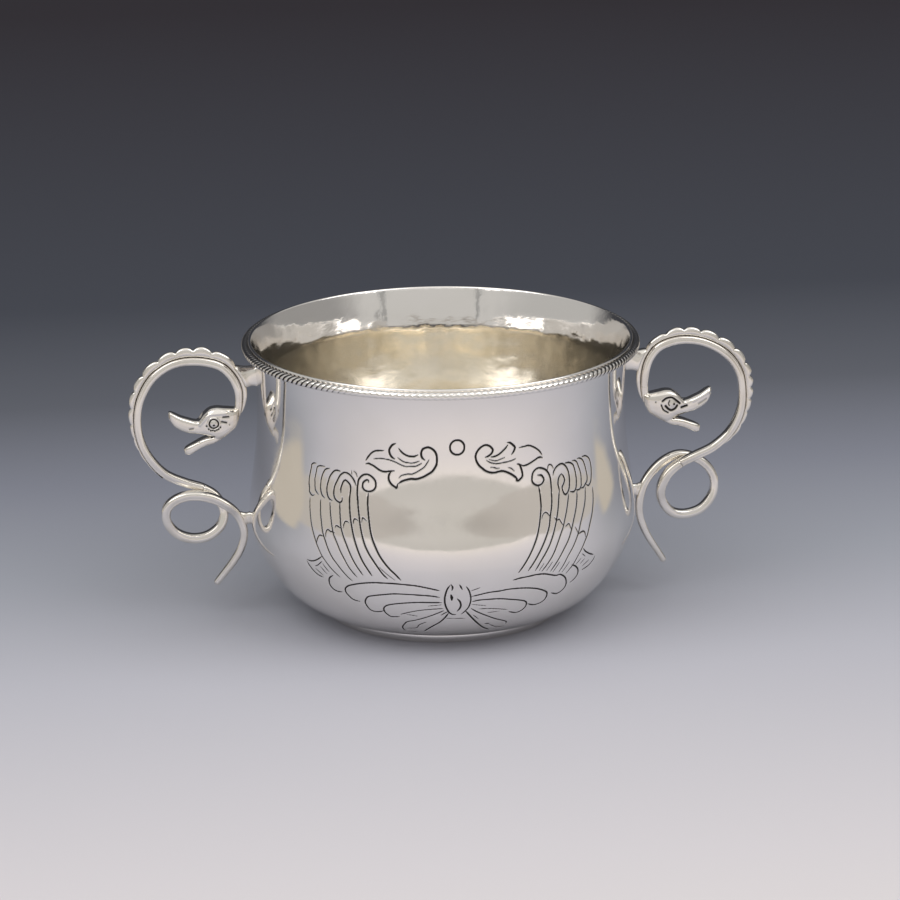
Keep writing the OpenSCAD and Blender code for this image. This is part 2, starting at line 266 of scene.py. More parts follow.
# Engraving on the front: each stroke's width, and its points as the distance round the
# belly from the front and the height
RING_U = -1.5
RING_Z = 55.7
RING_R = 1.85
RING_W = 0.32
STROKES = {
    "left_leaf_volute": (0.36, [
        (-9.8, 52.6), (-10.4, 53.1), (-10.7, 53.9), (-10.6, 54.7), (-10.2, 55.4), (-9.1, 55.8),
        (-8.2, 55.6), (-7.3, 54.9), (-6.8, 53.9), (-6.7, 52.7), (-6.8, 51.6), (-7.3, 50.6), (-8, 49.7),
        (-9.1, 49), (-10.4, 48.3), (-12, 47.8), (-13.4, 47.8), (-14.6, 47.5), (-15.7, 47.1),
        (-16.6, 46.5)]),
    "left_leaf_low_lobe": (0.34, [
        (-18.6, 49.3), (-19.1, 48.5), (-19.2, 47.6), (-18.9, 46.8), (-18.3, 46.1), (-17.5, 45.6),
        (-17.1, 45.4), (-16.8, 46.4)]),
    "left_leaf_under": (0.3, [
        (-25.4, 50.7), (-24.7, 50.9), (-24, 50.7), (-23.2, 50.4), (-22.5, 50), (-21.6, 49.5),
        (-20.4, 49.2), (-19, 49.4), (-17.7, 49.6)]),
    "left_leaf_top": (0.28, [
        (-25.4, 51.6), (-24.7, 52.6), (-23.8, 53.6), (-22.8, 54.2), (-21.6, 54.4), (-20.4, 54.5)]),
    "left_leaf_vein": (0.2, [
        (-23.2, 52.2), (-21.8, 52.4), (-20.2, 52.4), (-18.7, 52.2), (-17.4, 51.8), (-16.2, 51.3),
        (-15, 50.9), (-13.6, 50.9), (-12.2, 51), (-11.3, 51.4), (-10.6, 51.8)]),
    "left_leaf_lobe": (0.36, [
        (-17.3, 56.5), (-18.1, 56.1), (-18.7, 55.4), (-19, 54.6), (-18.8, 53.7), (-18.3, 53),
        (-17.6, 52.6)]),
    "left_leaf_lobe_low": (0.2, [
        (-16.8, 53), (-16.1, 52.5), (-15.2, 52), (-14, 51.8), (-12.8, 51.8), (-11.2, 52.3)]),
    "left_leaf_lobe_top": (0.3, [
        (-16.5, 55.3), (-15.8, 54.5), (-15, 53.9), (-14, 53.5), (-12.9, 53.4), (-12.1, 53.6),
        (-11.5, 53.9)]),
    "left_leaf_spine": (0.2, [
        (-8.7, 52.7), (-9.2, 51.9), (-9.9, 50.9), (-11, 50.1), (-12.2, 49.4), (-13.2, 49), (-14.1, 49),
        (-15, 48.8), (-15.9, 48.5), (-16.4, 48)]),
    "right_leaf_volute": (0.34, [
        (5.7, 52.8), (6.4, 53), (7.1, 53.4), (7.6, 54), (7.7, 54.6), (7.2, 55.3), (6.6, 55.7),
        (5.8, 55.9), (4.9, 55.6), (4, 54.9), (3.4, 54), (3.2, 53.1), (3.4, 52.1), (4, 51), (4.8, 50.2),
        (5.8, 49.4), (7, 48.9), (8.2, 48.8), (9.1, 48.9), (10, 49), (11.1, 48.7), (12.3, 48.1),
        (13.2, 47.5), (13.9, 46.9), (14.3, 46.5)]),
    "right_leaf_lobe_top": (0.3, [
        (11.8, 55.4), (11.2, 54.7), (10.4, 54), (9.6, 53.4), (8.8, 53), (8, 52.8), (7.2, 52.8)]),
    "right_leaf_lobe": (0.34, [
        (11.6, 56), (12.3, 55.9), (13.1, 55.3), (13.7, 54.6), (13.6, 54), (13.2, 53.3), (12.8, 52.9)]),
    "right_leaf_vein": (0.2, [
        (6, 52.1), (6.5, 51.7), (7.3, 51.3), (8.5, 51), (9.8, 51), (10.9, 51.1), (12, 51.2),
        (13.1, 51.4), (13.9, 51.7)]),
    "right_leaf_lobe_low": (0.16, [(6.7, 52.2), (7.6, 51.9), (8.6, 51.7), (9.8, 52), (10.9, 52.3)]),
    "right_leaf_tick_1": (0.18, [(7.1, 50.2), (7.9, 50.1), (8.7, 49.8), (9.4, 49.8)]),
    "right_leaf_tick_2": (0.2, [(11.8, 49.7), (12.6, 49.4), (13.4, 48.7)]),
    "right_leaf_low_lobe": (0.34, [
        (14.3, 50.3), (15, 50), (15.3, 49.3), (15.6, 48.3), (15.7, 47.4), (15.5, 46.8), (15, 46.4),
        (14.5, 46.1), (14, 46.3), (13.9, 46.9)]),
    "right_leaf_under": (0.3, [
        (15.5, 49.9), (16, 49.6), (17.1, 49.7), (18.3, 50.1), (19.5, 50.6), (20.4, 51), (21.3, 51),
        (21.7, 50.8)]),
    "right_leaf_top": (0.26, [
        (14.9, 54.3), (16.2, 54.4), (17.6, 54.5), (18.9, 54), (20, 53.3), (20.9, 52.5), (21.6, 51.5)]),
    "left_hook_1": (0.24, [
        (-40.7, 48.6), (-41.5, 48.5), (-42.2, 48), (-42.4, 47), (-42.7, 45.7), (-42.9, 44.4),
        (-42.9, 43.2), (-42.6, 42), (-42.6, 41.3), (-42.1, 40.7), (-41.4, 40.4), (-40.8, 40.7)]),
    "left_hook_2": (0.22, [
        (-37.7, 48.3), (-38.7, 48.3), (-39.7, 48.1), (-40.3, 47.6), (-40.6, 46.3), (-40.9, 44.8),
        (-40.8, 43.3), (-40.6, 42.1), (-40.1, 41.5), (-39.4, 41)]),
    "left_hook_3": (0.24, [
        (-36.2, 48.1), (-37.2, 47.8), (-37.8, 47.3), (-38.4, 46.2), (-38.8, 44.8), (-38.9, 43.4),
        (-38.7, 42.1), (-38.2, 41.1), (-37.3, 40.5)]),
    "left_hook_4": (0.26, [
        (-32.8, 47.9), (-33.7, 48), (-34.5, 47.8), (-35.2, 47.2), (-36, 46.1), (-36.5, 44.7),
        (-36.8, 43.4), (-36.7, 42.1), (-36.3, 41.1), (-35.7, 40.5), (-34.9, 40.3)]),
    "left_hook_5": (0.27, [
        (-28.1, 45.1), (-28.7, 46.2), (-29.4, 47), (-30.3, 47.6), (-31.4, 47.8), (-32.1, 47.5),
        (-32.9, 46.8), (-33.7, 45.4), (-34.4, 43.9), (-34.6, 42.4), (-34.3, 41.2), (-33.6, 40.5),
        (-32.6, 40.2), (-32, 40.7), (-32, 41.5)]),
    "left_hook_6": (0.28, [
        (-32.4, 42.6), (-32.5, 43.6), (-32.2, 44.6), (-31.8, 45.5), (-31.2, 45.9), (-30.4, 45.5),
        (-29.8, 44.9), (-29.6, 44.1), (-29.7, 42.9), (-29.8, 41.6), (-29.8, 40.4)]),
    "left_volute": (0.3, [
        (-24.6, 46.2), (-24.6, 46.6), (-25.1, 46.7), (-25.8, 46.3), (-26.2, 45.7), (-26.2, 44.8),
        (-25.6, 44.1), (-24.6, 43.9), (-23.5, 44.2), (-22.8, 44.9), (-22.6, 45.9), (-22.9, 46.9),
        (-23.8, 47.7), (-24.9, 48.1), (-26, 47.9), (-26.8, 47.3), (-27.4, 46.5), (-27.6, 45.4),
        (-27.7, 43.9), (-27.6, 42.2), (-27.4, 40.7)]),
    "left_pair_1": (0.18, [(-29.5, 48.5), (-29.4, 47.7)]),
    "left_pair_2": (0.18, [(-28.8, 48.5), (-28.2, 48.1), (-27.8, 47.3)]),
    "left_line_1": (0.2, [
        (-42.2, 39.7), (-42, 37.6), (-41.6, 35.6), (-41.1, 33.7), (-40.4, 31.9), (-39.4, 29.8),
        (-38.9, 28.8), (-38, 27.3), (-37.2, 26.1), (-36, 24.8), (-34.8, 23.5), (-33.4, 22.2),
        (-32.3, 21.3)]),
    "left_line_2": (0.22, [
        (-38.6, 39.9), (-38.3, 36.7), (-37.8, 34.4), (-37.2, 32.1), (-36.2, 30), (-35.2, 28),
        (-34, 26.2), (-32.7, 24.8), (-31.4, 23.3), (-29.9, 21.7), (-28.8, 20.8)]),
    "left_line_3": (0.22, [
        (-35.6, 39.8), (-35.3, 37.7), (-34.9, 35.7), (-34.4, 33.7), (-33.8, 32), (-32.7, 30.1),
        (-31.8, 28.4), (-30.6, 26.5), (-29.4, 24.6), (-28.3, 23.2), (-27.3, 22.1)]),
    "left_line_4": (0.24, [
        (-32.6, 40.1), (-32.4, 37.9), (-32.1, 35.8), (-31.8, 34.1), (-31.1, 32.3), (-30.1, 30.3),
        (-29.2, 28.5), (-28.1, 26.5), (-26.9, 24.7), (-25.6, 22.9)]),
    "left_line_5": (0.28, [
        (-29.7, 42.7), (-29.8, 41.3), (-29.6, 38.9), (-29.3, 37), (-28.9, 35.2), (-28.2, 32.7),
        (-27.4, 30.5), (-26.5, 28.4), (-25.5, 26.5), (-24.3, 24.7), (-23.2, 23)]),
    "left_line_6": (0.28, [
        (-27.6, 43), (-27.5, 42.1), (-27.3, 40), (-26.9, 37.7), (-26.5, 35.5), (-25.9, 33.2),
        (-25, 30.7), (-23.9, 28.7), (-22.7, 27), (-21.4, 25.2), (-20.3, 23.7), (-19.2, 22.6)]),
    "left_line_7": (0.3, [
        (-24.6, 43.5), (-24.7, 41.4), (-24.5, 39.2), (-24.2, 37.2), (-23.7, 34.5), (-23.1, 32.5),
        (-22.2, 30.5), (-21.2, 28.6), (-19.9, 26.8), (-18.4, 25.1), (-17.2, 24), (-15.9, 22.5)]),
    "left_line_thin": (0.14, [(-21.1, 25.5), (-19.6, 24.1), (-17.4, 22.4)]),
    "left_tip_1": (0.22, [(-39, 28.9), (-38.8, 30), (-38.3, 31), (-37.7, 31.2), (-36.9, 31.1)]),
    "left_tip_2": (0.22, [(-36.2, 31.1), (-36.2, 32.3), (-35.7, 33), (-34.8, 32.7), (-33.6, 32.6)]),
    "left_tip_3": (0.24, [(-33.5, 33.9), (-33.3, 34.4), (-32.5, 34.2), (-31.7, 33.9)]),
    "left_tip_4": (0.22, [(-31.2, 34.2), (-31, 35.2), (-30.7, 35.8), (-30, 35.8), (-29.6, 35.6)]),
    "left_tip_5": (0.24, [(-28.4, 35.6), (-28.3, 36.5), (-28, 36.8), (-27.1, 36.5)]),
    "left_tip_6": (0.22, [(-26.1, 36.2), (-26, 37.1), (-25.8, 37.3), (-24.8, 36.7)]),
    "left_fin_top": (0.24, [(-42.2, 24.1), (-41.1, 24), (-39.8, 24.3), (-38.5, 25), (-37.3, 25.9)]),
    "left_fin_low": (0.24, [(-42.3, 23.7), (-41.6, 22.6), (-40.6, 21.5), (-39.3, 20.6), (-37.7, 20.2)]),
    "left_fin_1": (0.2, [(-39.7, 22.9), (-38.7, 23.4), (-37.3, 24.6)]),
    "left_fin_2": (0.18, [(-39.6, 22.2), (-38.6, 21.5), (-37.6, 20.8)]),
    "left_fin_3": (0.18, [(-37.9, 23.1), (-36.8, 22), (-36.2, 21.5)]),
    "left_fin_4": (0.18, [(-37.1, 24.1), (-36.3, 23.1), (-35.4, 22.2)]),
    "left_fan_0": (0.28, [
        (-34.4, 21.4), (-35.6, 20.5), (-36.1, 19.4), (-36.1, 18.2), (-35.4, 17.2), (-34.2, 16.8),
        (-32.8, 16.9)]),
    "left_fan_1": (0.28, [
        (-6.4, 19.8), (-9.1, 20.5), (-12.1, 21.1), (-14.7, 21.3), (-17.7, 21.4), (-20.8, 21.3),
        (-23.3, 21.1), (-26.4, 20.5), (-29.3, 19.6), (-30.6, 19), (-31.5, 18.1), (-31.6, 17), (-31, 16),
        (-30, 15.1), (-28.2, 14.8)]),
    "left_fan_2": (0.28, [
        (-6.4, 17.8), (-8.4, 18.2), (-11.4, 18.4), (-14.7, 18.5), (-18, 18.4), (-20.8, 17.9),
        (-23.5, 17.3), (-25.3, 16.7), (-26.2, 15.7), (-26.6, 14.7), (-26.4, 13.5), (-25.8, 12.5),
        (-24.6, 12.1), (-23, 12.3), (-21.9, 12.7)]),
    "left_fan_3": (0.28, [
        (-5.9, 16.2), (-8, 16.2), (-11.1, 16.2), (-13.8, 16), (-16.6, 15.6), (-19, 15.1), (-20.7, 14.5),
        (-21.6, 13.6), (-21.7, 12.6), (-21.2, 11.7), (-20.3, 11), (-18.9, 11), (-17.7, 11.2)]),
    "left_fan_4": (0.22, [(-5.6, 14.3), (-8.3, 14.1), (-11.3, 13.7), (-14.2, 13), (-17.2, 12)]),
    "left_fan_5": (0.16, [(-15.5, 12.1), (-12.7, 11.7)]),
    "left_fan_6": (0.14, [(-9.4, 15.1), (-6, 15.5)]),
    "left_ribbon_top": (0.26, [
        (-5.4, 13.6), (-7.2, 12.7), (-10.1, 11.4), (-13.1, 10.3), (-15.8, 9.5), (-16.8, 8.7),
        (-17.8, 7.5), (-17.9, 6.4), (-17.4, 5.8)]),
    "left_ribbon_low": (0.3, [(-4.1, 12.8), (-5.1, 11.2), (-6.6, 9.6), (-8.9, 8), (-11.6, 5.9)]),
    "left_ribbon_tick": (0.26, [(-4.2, 13.3), (-5.1, 12.8), (-6.1, 12.1)]),
    "left_ribbon_fold": (0.22, [(-10.4, 9.6), (-11.6, 9.1), (-12.7, 8.4), (-13.7, 7.3), (-16.5, 6.9)]),
    "left_ribbon_end": (0.2, [(-17, 5.5), (-13.6, 5.8)]),
    "knot_left": (0.3, [
        (-3.8, 21.3), (-4.6, 19.8), (-5.1, 17.4), (-4.9, 15.3), (-4.1, 13.3), (-3.2, 12.4),
        (-2.1, 12.2)]),
    "knot_right": (0.26, [
        (0.3, 20.8), (1.1, 19.3), (1.6, 17.1), (1.4, 15.2), (0.9, 14), (0, 12.9), (-0.6, 12.3)]),
    "knot_nick_1": (0.32, [(-3.5, 21.5), (-3.1, 20.7), (-3.3, 19.8)]),
    "knot_nick_2": (0.32, [(-1.4, 21.4), (-0.7, 20)]),
    "knot_drop": (0.55, [(-3.5, 18.5), (-3.3, 17.6), (-3.3, 16.9)]),
    "knot_curl": (0.32, [(-1.9, 17.3), (-1.2, 16.4), (-0.9, 15.2), (-1.2, 14.1), (-1.8, 13.3)]),
    "knot_base": (0.16, [(-4.6, 11), (0.6, 10.8)]),
    "right_fan_1": (0.28, [
        (12.2, 21.4), (14, 21.7), (16.3, 21.8), (18.6, 21.9), (21.1, 21.6), (24.4, 20.5), (26, 20.4),
        (27.8, 19.2), (28.8, 17.7), (29.1, 16.2), (28.3, 15), (26.7, 14.6), (24.7, 15.3)]),
    "right_fan_2": (0.28, [
        (1.9, 17.8), (3.9, 18.2), (6.2, 18.6), (8.9, 18.7), (11.1, 18.9), (13.9, 18.8), (16.8, 18.4),
        (19.5, 17.7), (21.8, 16.7), (23.1, 15.8), (23.5, 14.6), (23.2, 13.4), (22, 12.7), (20.1, 12.6),
        (18.1, 13.3)]),
    "right_fan_3": (0.28, [
        (2, 16.2), (3.8, 16.5), (6.5, 16.5), (9.5, 16.3), (12.4, 15.7), (15.2, 15), (17, 14.3),
        (17.7, 13.3), (17.5, 12.1), (16.5, 11.2), (15, 11), (12.9, 11.7)]),
    "right_fan_4": (0.18, [(4.1, 13.7), (7.9, 13.4), (12.2, 12.5)]),
    "right_fan_5": (0.16, [(6.7, 12.2), (10, 12.3)]),
    "right_fan_6": (0.18, [(1.6, 19.5), (3.7, 20.2)]),
    "right_fan_7": (0.14, [(2, 15.3), (5.8, 14.6)]),
    "right_ribbon_top": (0.26, [
        (1.9, 14), (3.8, 12.7), (6.4, 11.3), (9.2, 9.9), (12.2, 8.7), (13.6, 8), (13.7, 7.3)]),
    "right_ribbon_low": (0.32, [(0.5, 13.3), (2.1, 11.3), (4.2, 9), (6.5, 7), (9, 5.6)]),
    "right_ribbon_tick": (0.18, [(2.7, 11.8), (4.4, 10.3)]),
    "right_ribbon_dot": (0.4, [(6.8, 8.3), (8.2, 8.2)]),
    "right_ribbon_fold": (0.2, [(8.3, 7.8), (11, 6.5), (13.7, 6.2)]),
    "right_fan_0": (0.28, [
        (29.3, 22.3), (30.7, 21.6), (31.9, 20.4), (32.3, 19), (31.7, 17.8), (30.4, 17)]),
    "right_volute": (0.3, [
        (20.1, 46.7), (21.1, 46.5), (21.6, 46), (21.9, 45.3), (21.5, 44.6), (20.9, 44.2), (20, 44.1),
        (19, 44.6), (18.4, 45.4), (18.4, 46.3), (18.7, 47.4), (19.6, 48.2), (20.7, 48.4), (21.9, 48),
        (22.8, 47.4), (23.5, 46.4), (23.9, 45.2), (24, 43.7), (24, 41.9)]),
    "right_pair": (0.2, [(23.1, 47.5), (23.4, 48.5), (23.9, 48.7), (24.5, 48.4), (25, 47.6)]),
    "right_hook_5": (0.28, [
        (24.8, 46), (25.1, 46.8), (25.8, 47.6), (26.8, 48.1), (27.8, 48.2), (28.7, 47.7), (29.5, 46.7),
        (30, 45.4), (30.1, 43.8), (29.9, 42.2), (29.5, 41.2), (28.8, 40.5), (28.3, 40.4), (27.8, 40.9),
        (27.5, 41.8), (27.5, 42.5), (28, 43.1), (28.4, 43.9), (28.3, 44.6), (27.9, 45.3), (27.5, 45.7)]),
    "right_hook_6": (0.28, [
        (27.5, 45.7), (26.9, 45.3), (26.4, 44.5), (26.2, 43.4), (26.4, 42.3), (26.5, 41.4)]),
    "right_hook_4": (0.26, [
        (28.9, 48.1), (29.8, 48.1), (30.8, 47.8), (31.7, 47.1), (32.2, 45.8), (32.5, 44.2),
        (32.5, 42.8), (32.2, 41.4), (31.7, 40.7), (31, 40.5), (30, 40.8)]),
    "right_hook_3": (0.24, [
        (31.4, 48.2), (32.3, 48.1), (33.1, 47.5), (33.7, 46.2), (34.3, 44.5), (34.3, 42.8),
        (34.1, 41.4), (33.5, 40.7), (32.8, 40.6), (32.1, 40.9)]),
    "right_hook_2": (0.24, [
        (33.3, 48.3), (34.1, 48.3), (35.2, 47.7), (35.9, 46.6), (36.4, 45), (36.7, 43.3), (36.5, 42.1),
        (35.7, 41.4), (34.9, 40.8), (33.9, 40.8)]),
    "right_hook_1": (0.24, [
        (35.2, 48.4), (36.3, 48.4), (37.4, 47.9), (38.2, 47), (38.6, 45.6), (38.6, 43.9), (38.3, 42.4),
        (37.9, 41.5), (37, 40.8), (36.2, 41.1), (36, 41.5)]),
    "right_line_7": (0.28, [
        (20.2, 43.9), (20.4, 42.6), (20.5, 41), (20.5, 38.9), (20.1, 36.6), (19.5, 34.1), (18.7, 31.7),
        (17.5, 29.2), (16.2, 27), (14.8, 25), (13.5, 23.3)]),
    "right_line_6": (0.28, [
        (23.9, 42.3), (23.9, 40.4), (23.6, 38.2), (23, 36.1), (22.4, 33.6), (21.3, 31.2), (20.1, 29.1),
        (18.6, 26.8), (17.3, 25), (16.1, 23.4)]),
    "right_line_5": (0.26, [
        (26.4, 41.6), (26, 39.5), (25.5, 37.2), (24.8, 34.9), (24.2, 33.3), (23.3, 31.2), (22.2, 29.1),
        (21, 27.3), (19.5, 25.3), (18.1, 23.1)]),
    "right_line_4": (0.24, [
        (29.4, 40.3), (28.9, 38.5), (28.2, 36.4), (27.2, 34), (26.6, 32.6), (25.6, 30.9), (24.3, 28.5),
        (23.1, 26.4), (21.4, 24.2), (20, 22.6)]),
    "right_line_3": (0.24, [
        (32.4, 40.5), (32.1, 38.6), (31.4, 36.3), (30.1, 33.4), (29, 31), (28, 29.2), (26.5, 27.2),
        (24.8, 24.9), (23.4, 23.1), (22.6, 22)]),
    "right_line_2": (0.22, [
        (35.6, 40.6), (35, 37.6), (33.9, 35.1), (32.5, 32.5), (31.8, 30.9), (30.9, 29.3), (29.4, 27.1),
        (27.7, 25), (26.3, 22.7), (25.3, 21.3)]),
    "right_line_1": (0.22, [
        (38.5, 39.9), (38.2, 37.2), (37.2, 34.1), (35.8, 31.4), (34.6, 29), (33.8, 27.9), (32.6, 26.2),
        (31, 24.2), (29.8, 22.4), (27.9, 20.3)]),
    "right_thin_1": (0.14, [(19.2, 22.9), (20.4, 24.6)]),
    "right_thin_2": (0.14, [(21.4, 22.5), (22.9, 24.5)]),
    "right_thin_3": (0.16, [(23.4, 21.7), (25.1, 24)]),
    "right_thin_4": (0.16, [(26.4, 21), (28.3, 23.4)]),
    "right_tip_1": (0.2, [(20.5, 36), (20.9, 36.8), (21.7, 37.2), (22.4, 36.7), (22.8, 36)]),
    "right_tip_2": (0.2, [(24.2, 35.5), (24.8, 34.7), (25.6, 34.8), (26.1, 34), (26.7, 33)]),
    "right_tip_3": (0.2, [(27.4, 32.7), (28.5, 33.1), (28.9, 32.3), (29.2, 31.4)]),
    "right_tip_4": (0.2, [(30.5, 31.8), (30.9, 31.1), (31.3, 30.1)]),
    "right_tip_5": (0.24, [(31.4, 29.9), (32.2, 30.1), (33.1, 30.2), (33.7, 29.7), (33.9, 28.5)]),
    "right_fin_top": (0.26, [(32.9, 25.8), (33.8, 24.8), (35.4, 23.8), (37, 23.1)]),
    "right_fin_low": (0.24, [(37.8, 22.5), (37.2, 21.5), (35.8, 20.4), (33.6, 19.8)]),
    "right_fin_1": (0.2, [(32.6, 24.5), (33.8, 23.5)]),
    "right_fin_2": (0.18, [(35.5, 22.1), (34, 21.3), (33.4, 20.9)]),
    "right_fin_3": (0.18, [(33.7, 22.9), (32.4, 21.9)]),
    "right_fin_4": (0.18, [(32.3, 23.3), (30.8, 22.1)]),
}


# Materials


def new_material(name):
    """A node material, and a helper that adds and links its nodes."""
    material = bpy.data.materials.new(name)
    material.use_nodes = True
    return material, Nodes(material.node_tree)


class Nodes:
    """Adds nodes to a tree and links them, with plain numbers set on their sockets."""

    def __init__(self, tree):
        self.tree = tree

    def put(self, socket, value):
        """Links a node's output to a socket, or sets a plain value there."""
        if isinstance(value, bpy.types.NodeSocket):
            self.tree.links.new(value, socket)
        elif value is not None:
            socket.default_value = value

    def add(self, kind, inputs=None, **settings):
        """A new node, with its settings, and with values or links for its inputs."""
        node = self.tree.nodes.new(kind)
        for key, value in settings.items():
            setattr(node, key, value)
        for key, value in (inputs or {}).items():
            self.put(node.inputs[key], value)
        return node

    def math(self, operation, first, second=None):
        """Result of an operation on one or two values."""
        return self.add("ShaderNodeMath", {0: first, 1: second}, operation=operation).outputs[0]

    def ramp(self, value, low, high, to_low=0.0, to_high=1.0, kind="SMOOTHSTEP"):
        """A value's run from low to high, as a run from to_low to to_high."""
        node = self.add(
            "ShaderNodeMapRange",
            {"Value": value, "From Min": low, "From Max": high, "To Min": to_low, "To Max": to_high},
            interpolation_type=kind)
        return node.outputs["Result"]

    def mix(self, share, first, second):
        """A mix of two colours, whose node has its factor and colours in sockets 0, 6 and 7."""
        return self.add("ShaderNodeMix", data_type="RGBA", inputs={0: share, 6: first, 7: second}).outputs[2]

    def place(self):
        """Place on the piece, in metres."""
        return self.add("ShaderNodeTexCoord").outputs["Object"]

    def axes(self, place):
        """The X, Y and Z of a place."""
        return self.add("ShaderNodeSeparateXYZ", {0: place}).outputs

    def noise(self, scale, detail=2.0, stretch=None):
        """Noise over the piece, with a scale per metre, stretched along its axes if asked."""
        place = self.place()
        if stretch:
            place = self.add("ShaderNodeMapping", {"Vector": place, "Scale": stretch}).outputs[0]
        node = self.add("ShaderNodeTexNoise", {"Vector": place, "Scale": scale, "Detail": detail})
        return node.outputs["Fac"]

    def value(self, name):
        """The number that each point of the piece keeps under a name."""
        return self.add("ShaderNodeAttribute", attribute_name=name).outputs["Fac"]

    def bump(self, height, depth, under=None):
        """Normal of a surface with a fine relief, which may lie over another relief."""
        inputs = {"Height": height, "Distance": depth, "Strength": 1.0, "Normal": under}
        return self.add("ShaderNodeBump", inputs).outputs[0]


# Finish of the metal: scales of noise are per metre, depths and heights are in metres, and
# each pair gives where a noise or a kept number starts to count and where it counts in full
SILVER = (0.94, 0.91, 0.875, 1)
SILVER_WORN = (0.9, 0.87, 0.825, 1)
CAST_SILVER = (0.9, 0.865, 0.81, 1)
CAST_WORN = (0.82, 0.775, 0.7, 1)
GILT = (0.95, 0.895, 0.785, 1)
GILT_PALE = (0.96, 0.92, 0.845, 1)
TARNISH_AND_SHADE = (0.03, 0.027, 0.025, 1)
NOISE_MIDDLE = 0.5
TONE_SCALE = 45
CAST_TONE_SCALE = 160
TONE_RANGE = (0.4, 0.75)
GILT_SCALE = 70
GILT_RANGE = (0.35, 0.65)
GILT_EDGE_Z = 0.06
GILT_FADE = 0.0005
GILT_WAVE = 0.005
GILT_WAVE_SCALE = 110
CUT_RANGE = (0.1, 0.5)
DARK_RANGE = (0.08, 0.6)
ROUGH_SCALE = 500
CAST_ROUGH_SCALE = 700
ROUGH_RANGE = (0.3, 0.7)
SHEET_ROUGH = (0.05, 0.085)
CAST_ROUGH = (0.1, 0.15)
INSIDE_SATIN = 0.03
GILT_SATIN = 0.1
CUT_SATIN = 0.3
DARK_SATIN = 0.2
SCRATCH_SCALE = 2600
SCRATCH_STRETCH = (1, 1, 0.08)
SCRATCH_DEPTH = 0.0000004
RIPPLE_SCALE = 640
RIPPLE_STRETCH = (1, 1, 1.5)
RIPPLE_DEPTH = 0.000012
PIT_SCALE = 1100
PIT_DEPTH = 4 * SCRATCH_DEPTH


def raised_silver():
    """Polished sheet silver, dark in the engraved lines, with painted shade between the rim wire's strands,
    and gilt inside the bowl.
    """
    material, nodes = new_material("raised_silver_polished")
    shader = material.node_tree.nodes["Principled BSDF"]
    silver = nodes.mix(nodes.ramp(nodes.noise(TONE_SCALE, detail=3), *TONE_RANGE), SILVER, SILVER_WORN)
    gilt = nodes.mix(nodes.ramp(nodes.noise(GILT_SCALE, detail=3), *GILT_RANGE), GILT, GILT_PALE)
    uneven = nodes.math("SUBTRACT", nodes.noise(GILT_WAVE_SCALE), NOISE_MIDDLE)
    height = nodes.axes(nodes.place())["Z"]
    level = nodes.math("ADD", height, nodes.math("MULTIPLY", uneven, GILT_WAVE))
    below = nodes.ramp(level, GILT_EDGE_Z + GILT_FADE, GILT_EDGE_Z - GILT_FADE)
    inside = nodes.value("inside")
    gilding = nodes.math("MULTIPLY", below, inside)
    plain = nodes.mix(gilding, silver, gilt)
    # The kept cut value darkens the engraved lines, and is painted shade between the rim wire's strands
    cut = nodes.ramp(nodes.value("cut"), *CUT_RANGE)
    nodes.put(shader.inputs["Base Color"], nodes.mix(cut, plain, TARNISH_AND_SHADE))
    shader.inputs["Metallic"].default_value = 1.0
    rough = nodes.ramp(nodes.noise(ROUGH_SCALE), *ROUGH_RANGE, *SHEET_ROUGH)
    for share, satin in ((inside, INSIDE_SATIN), (gilding, GILT_SATIN), (cut, CUT_SATIN)):
        rough = nodes.math("ADD", rough, nodes.math("MULTIPLY", share, satin))
    nodes.put(shader.inputs["Roughness"], rough)
    scratched = nodes.bump(nodes.noise(SCRATCH_SCALE, stretch=SCRATCH_STRETCH), SCRATCH_DEPTH)
    waves = nodes.noise(RIPPLE_SCALE, stretch=RIPPLE_STRETCH)
    ripple = nodes.math("MULTIPLY", waves, nodes.value("ripple"))
    nodes.put(shader.inputs["Normal"], nodes.bump(ripple, RIPPLE_DEPTH, scratched))
    return material


def cast_silver():
    """Cast silver, a little rougher than the sheet and darker in its recesses, with painted shade along each
    crest's foot.
    """
    material, nodes = new_material("cast_silver_polished")
    shader = material.node_tree.nodes["Principled BSDF"]
    worn = nodes.ramp(nodes.noise(CAST_TONE_SCALE, detail=3), *TONE_RANGE)
    tone = nodes.mix(worn, CAST_SILVER, CAST_WORN)
    # The kept dark value darkens the heads' chased marks, and is painted shade along each crest's foot
    dark = nodes.ramp(nodes.value("dark"), *DARK_RANGE)
    nodes.put(shader.inputs["Base Color"], nodes.mix(dark, tone, TARNISH_AND_SHADE))
    shader.inputs["Metallic"].default_value = 1.0
    rough = nodes.ramp(nodes.noise(CAST_ROUGH_SCALE), *ROUGH_RANGE, *CAST_ROUGH)
    rough = nodes.math("ADD", rough, nodes.math("MULTIPLY", dark, DARK_SATIN))
    nodes.put(shader.inputs["Roughness"], rough)
    nodes.put(shader.inputs["Normal"], nodes.bump(nodes.noise(PIT_SCALE, detail=3), PIT_DEPTH))
    return material


sheet_metal = raised_silver()
cast_metal = cast_silver()

# Bowl: an even grid of points, with a finer patch of it where the front is engraved
GRID_STEP = 0.9
BOTTOM_STEP = 3.0
FINE = 6
COLUMNS = 342
FRONT = COLUMNS // 2
PATCH_LEFT = FRONT - 50
PATCH_RIGHT = FRONT + 46
PATCH_LOW_Z = 4.6
PATCH_HIGH_Z = 58.2
EDGE_R = WALL_T / 2
EDGE_STEPS = 8
EDGE_PLAIN = 2.5
LEVEL_SLACK = 0.01
# Hammer marks: their width and depth, and how much wider than tall they are inside
OUTSIDE_MARK = 6.5
OUTSIDE_DEPTH = 0.022
INSIDE_MARK = 4.4
INSIDE_DEPTH = 0.12
INSIDE_SQUEEZE = 1.9
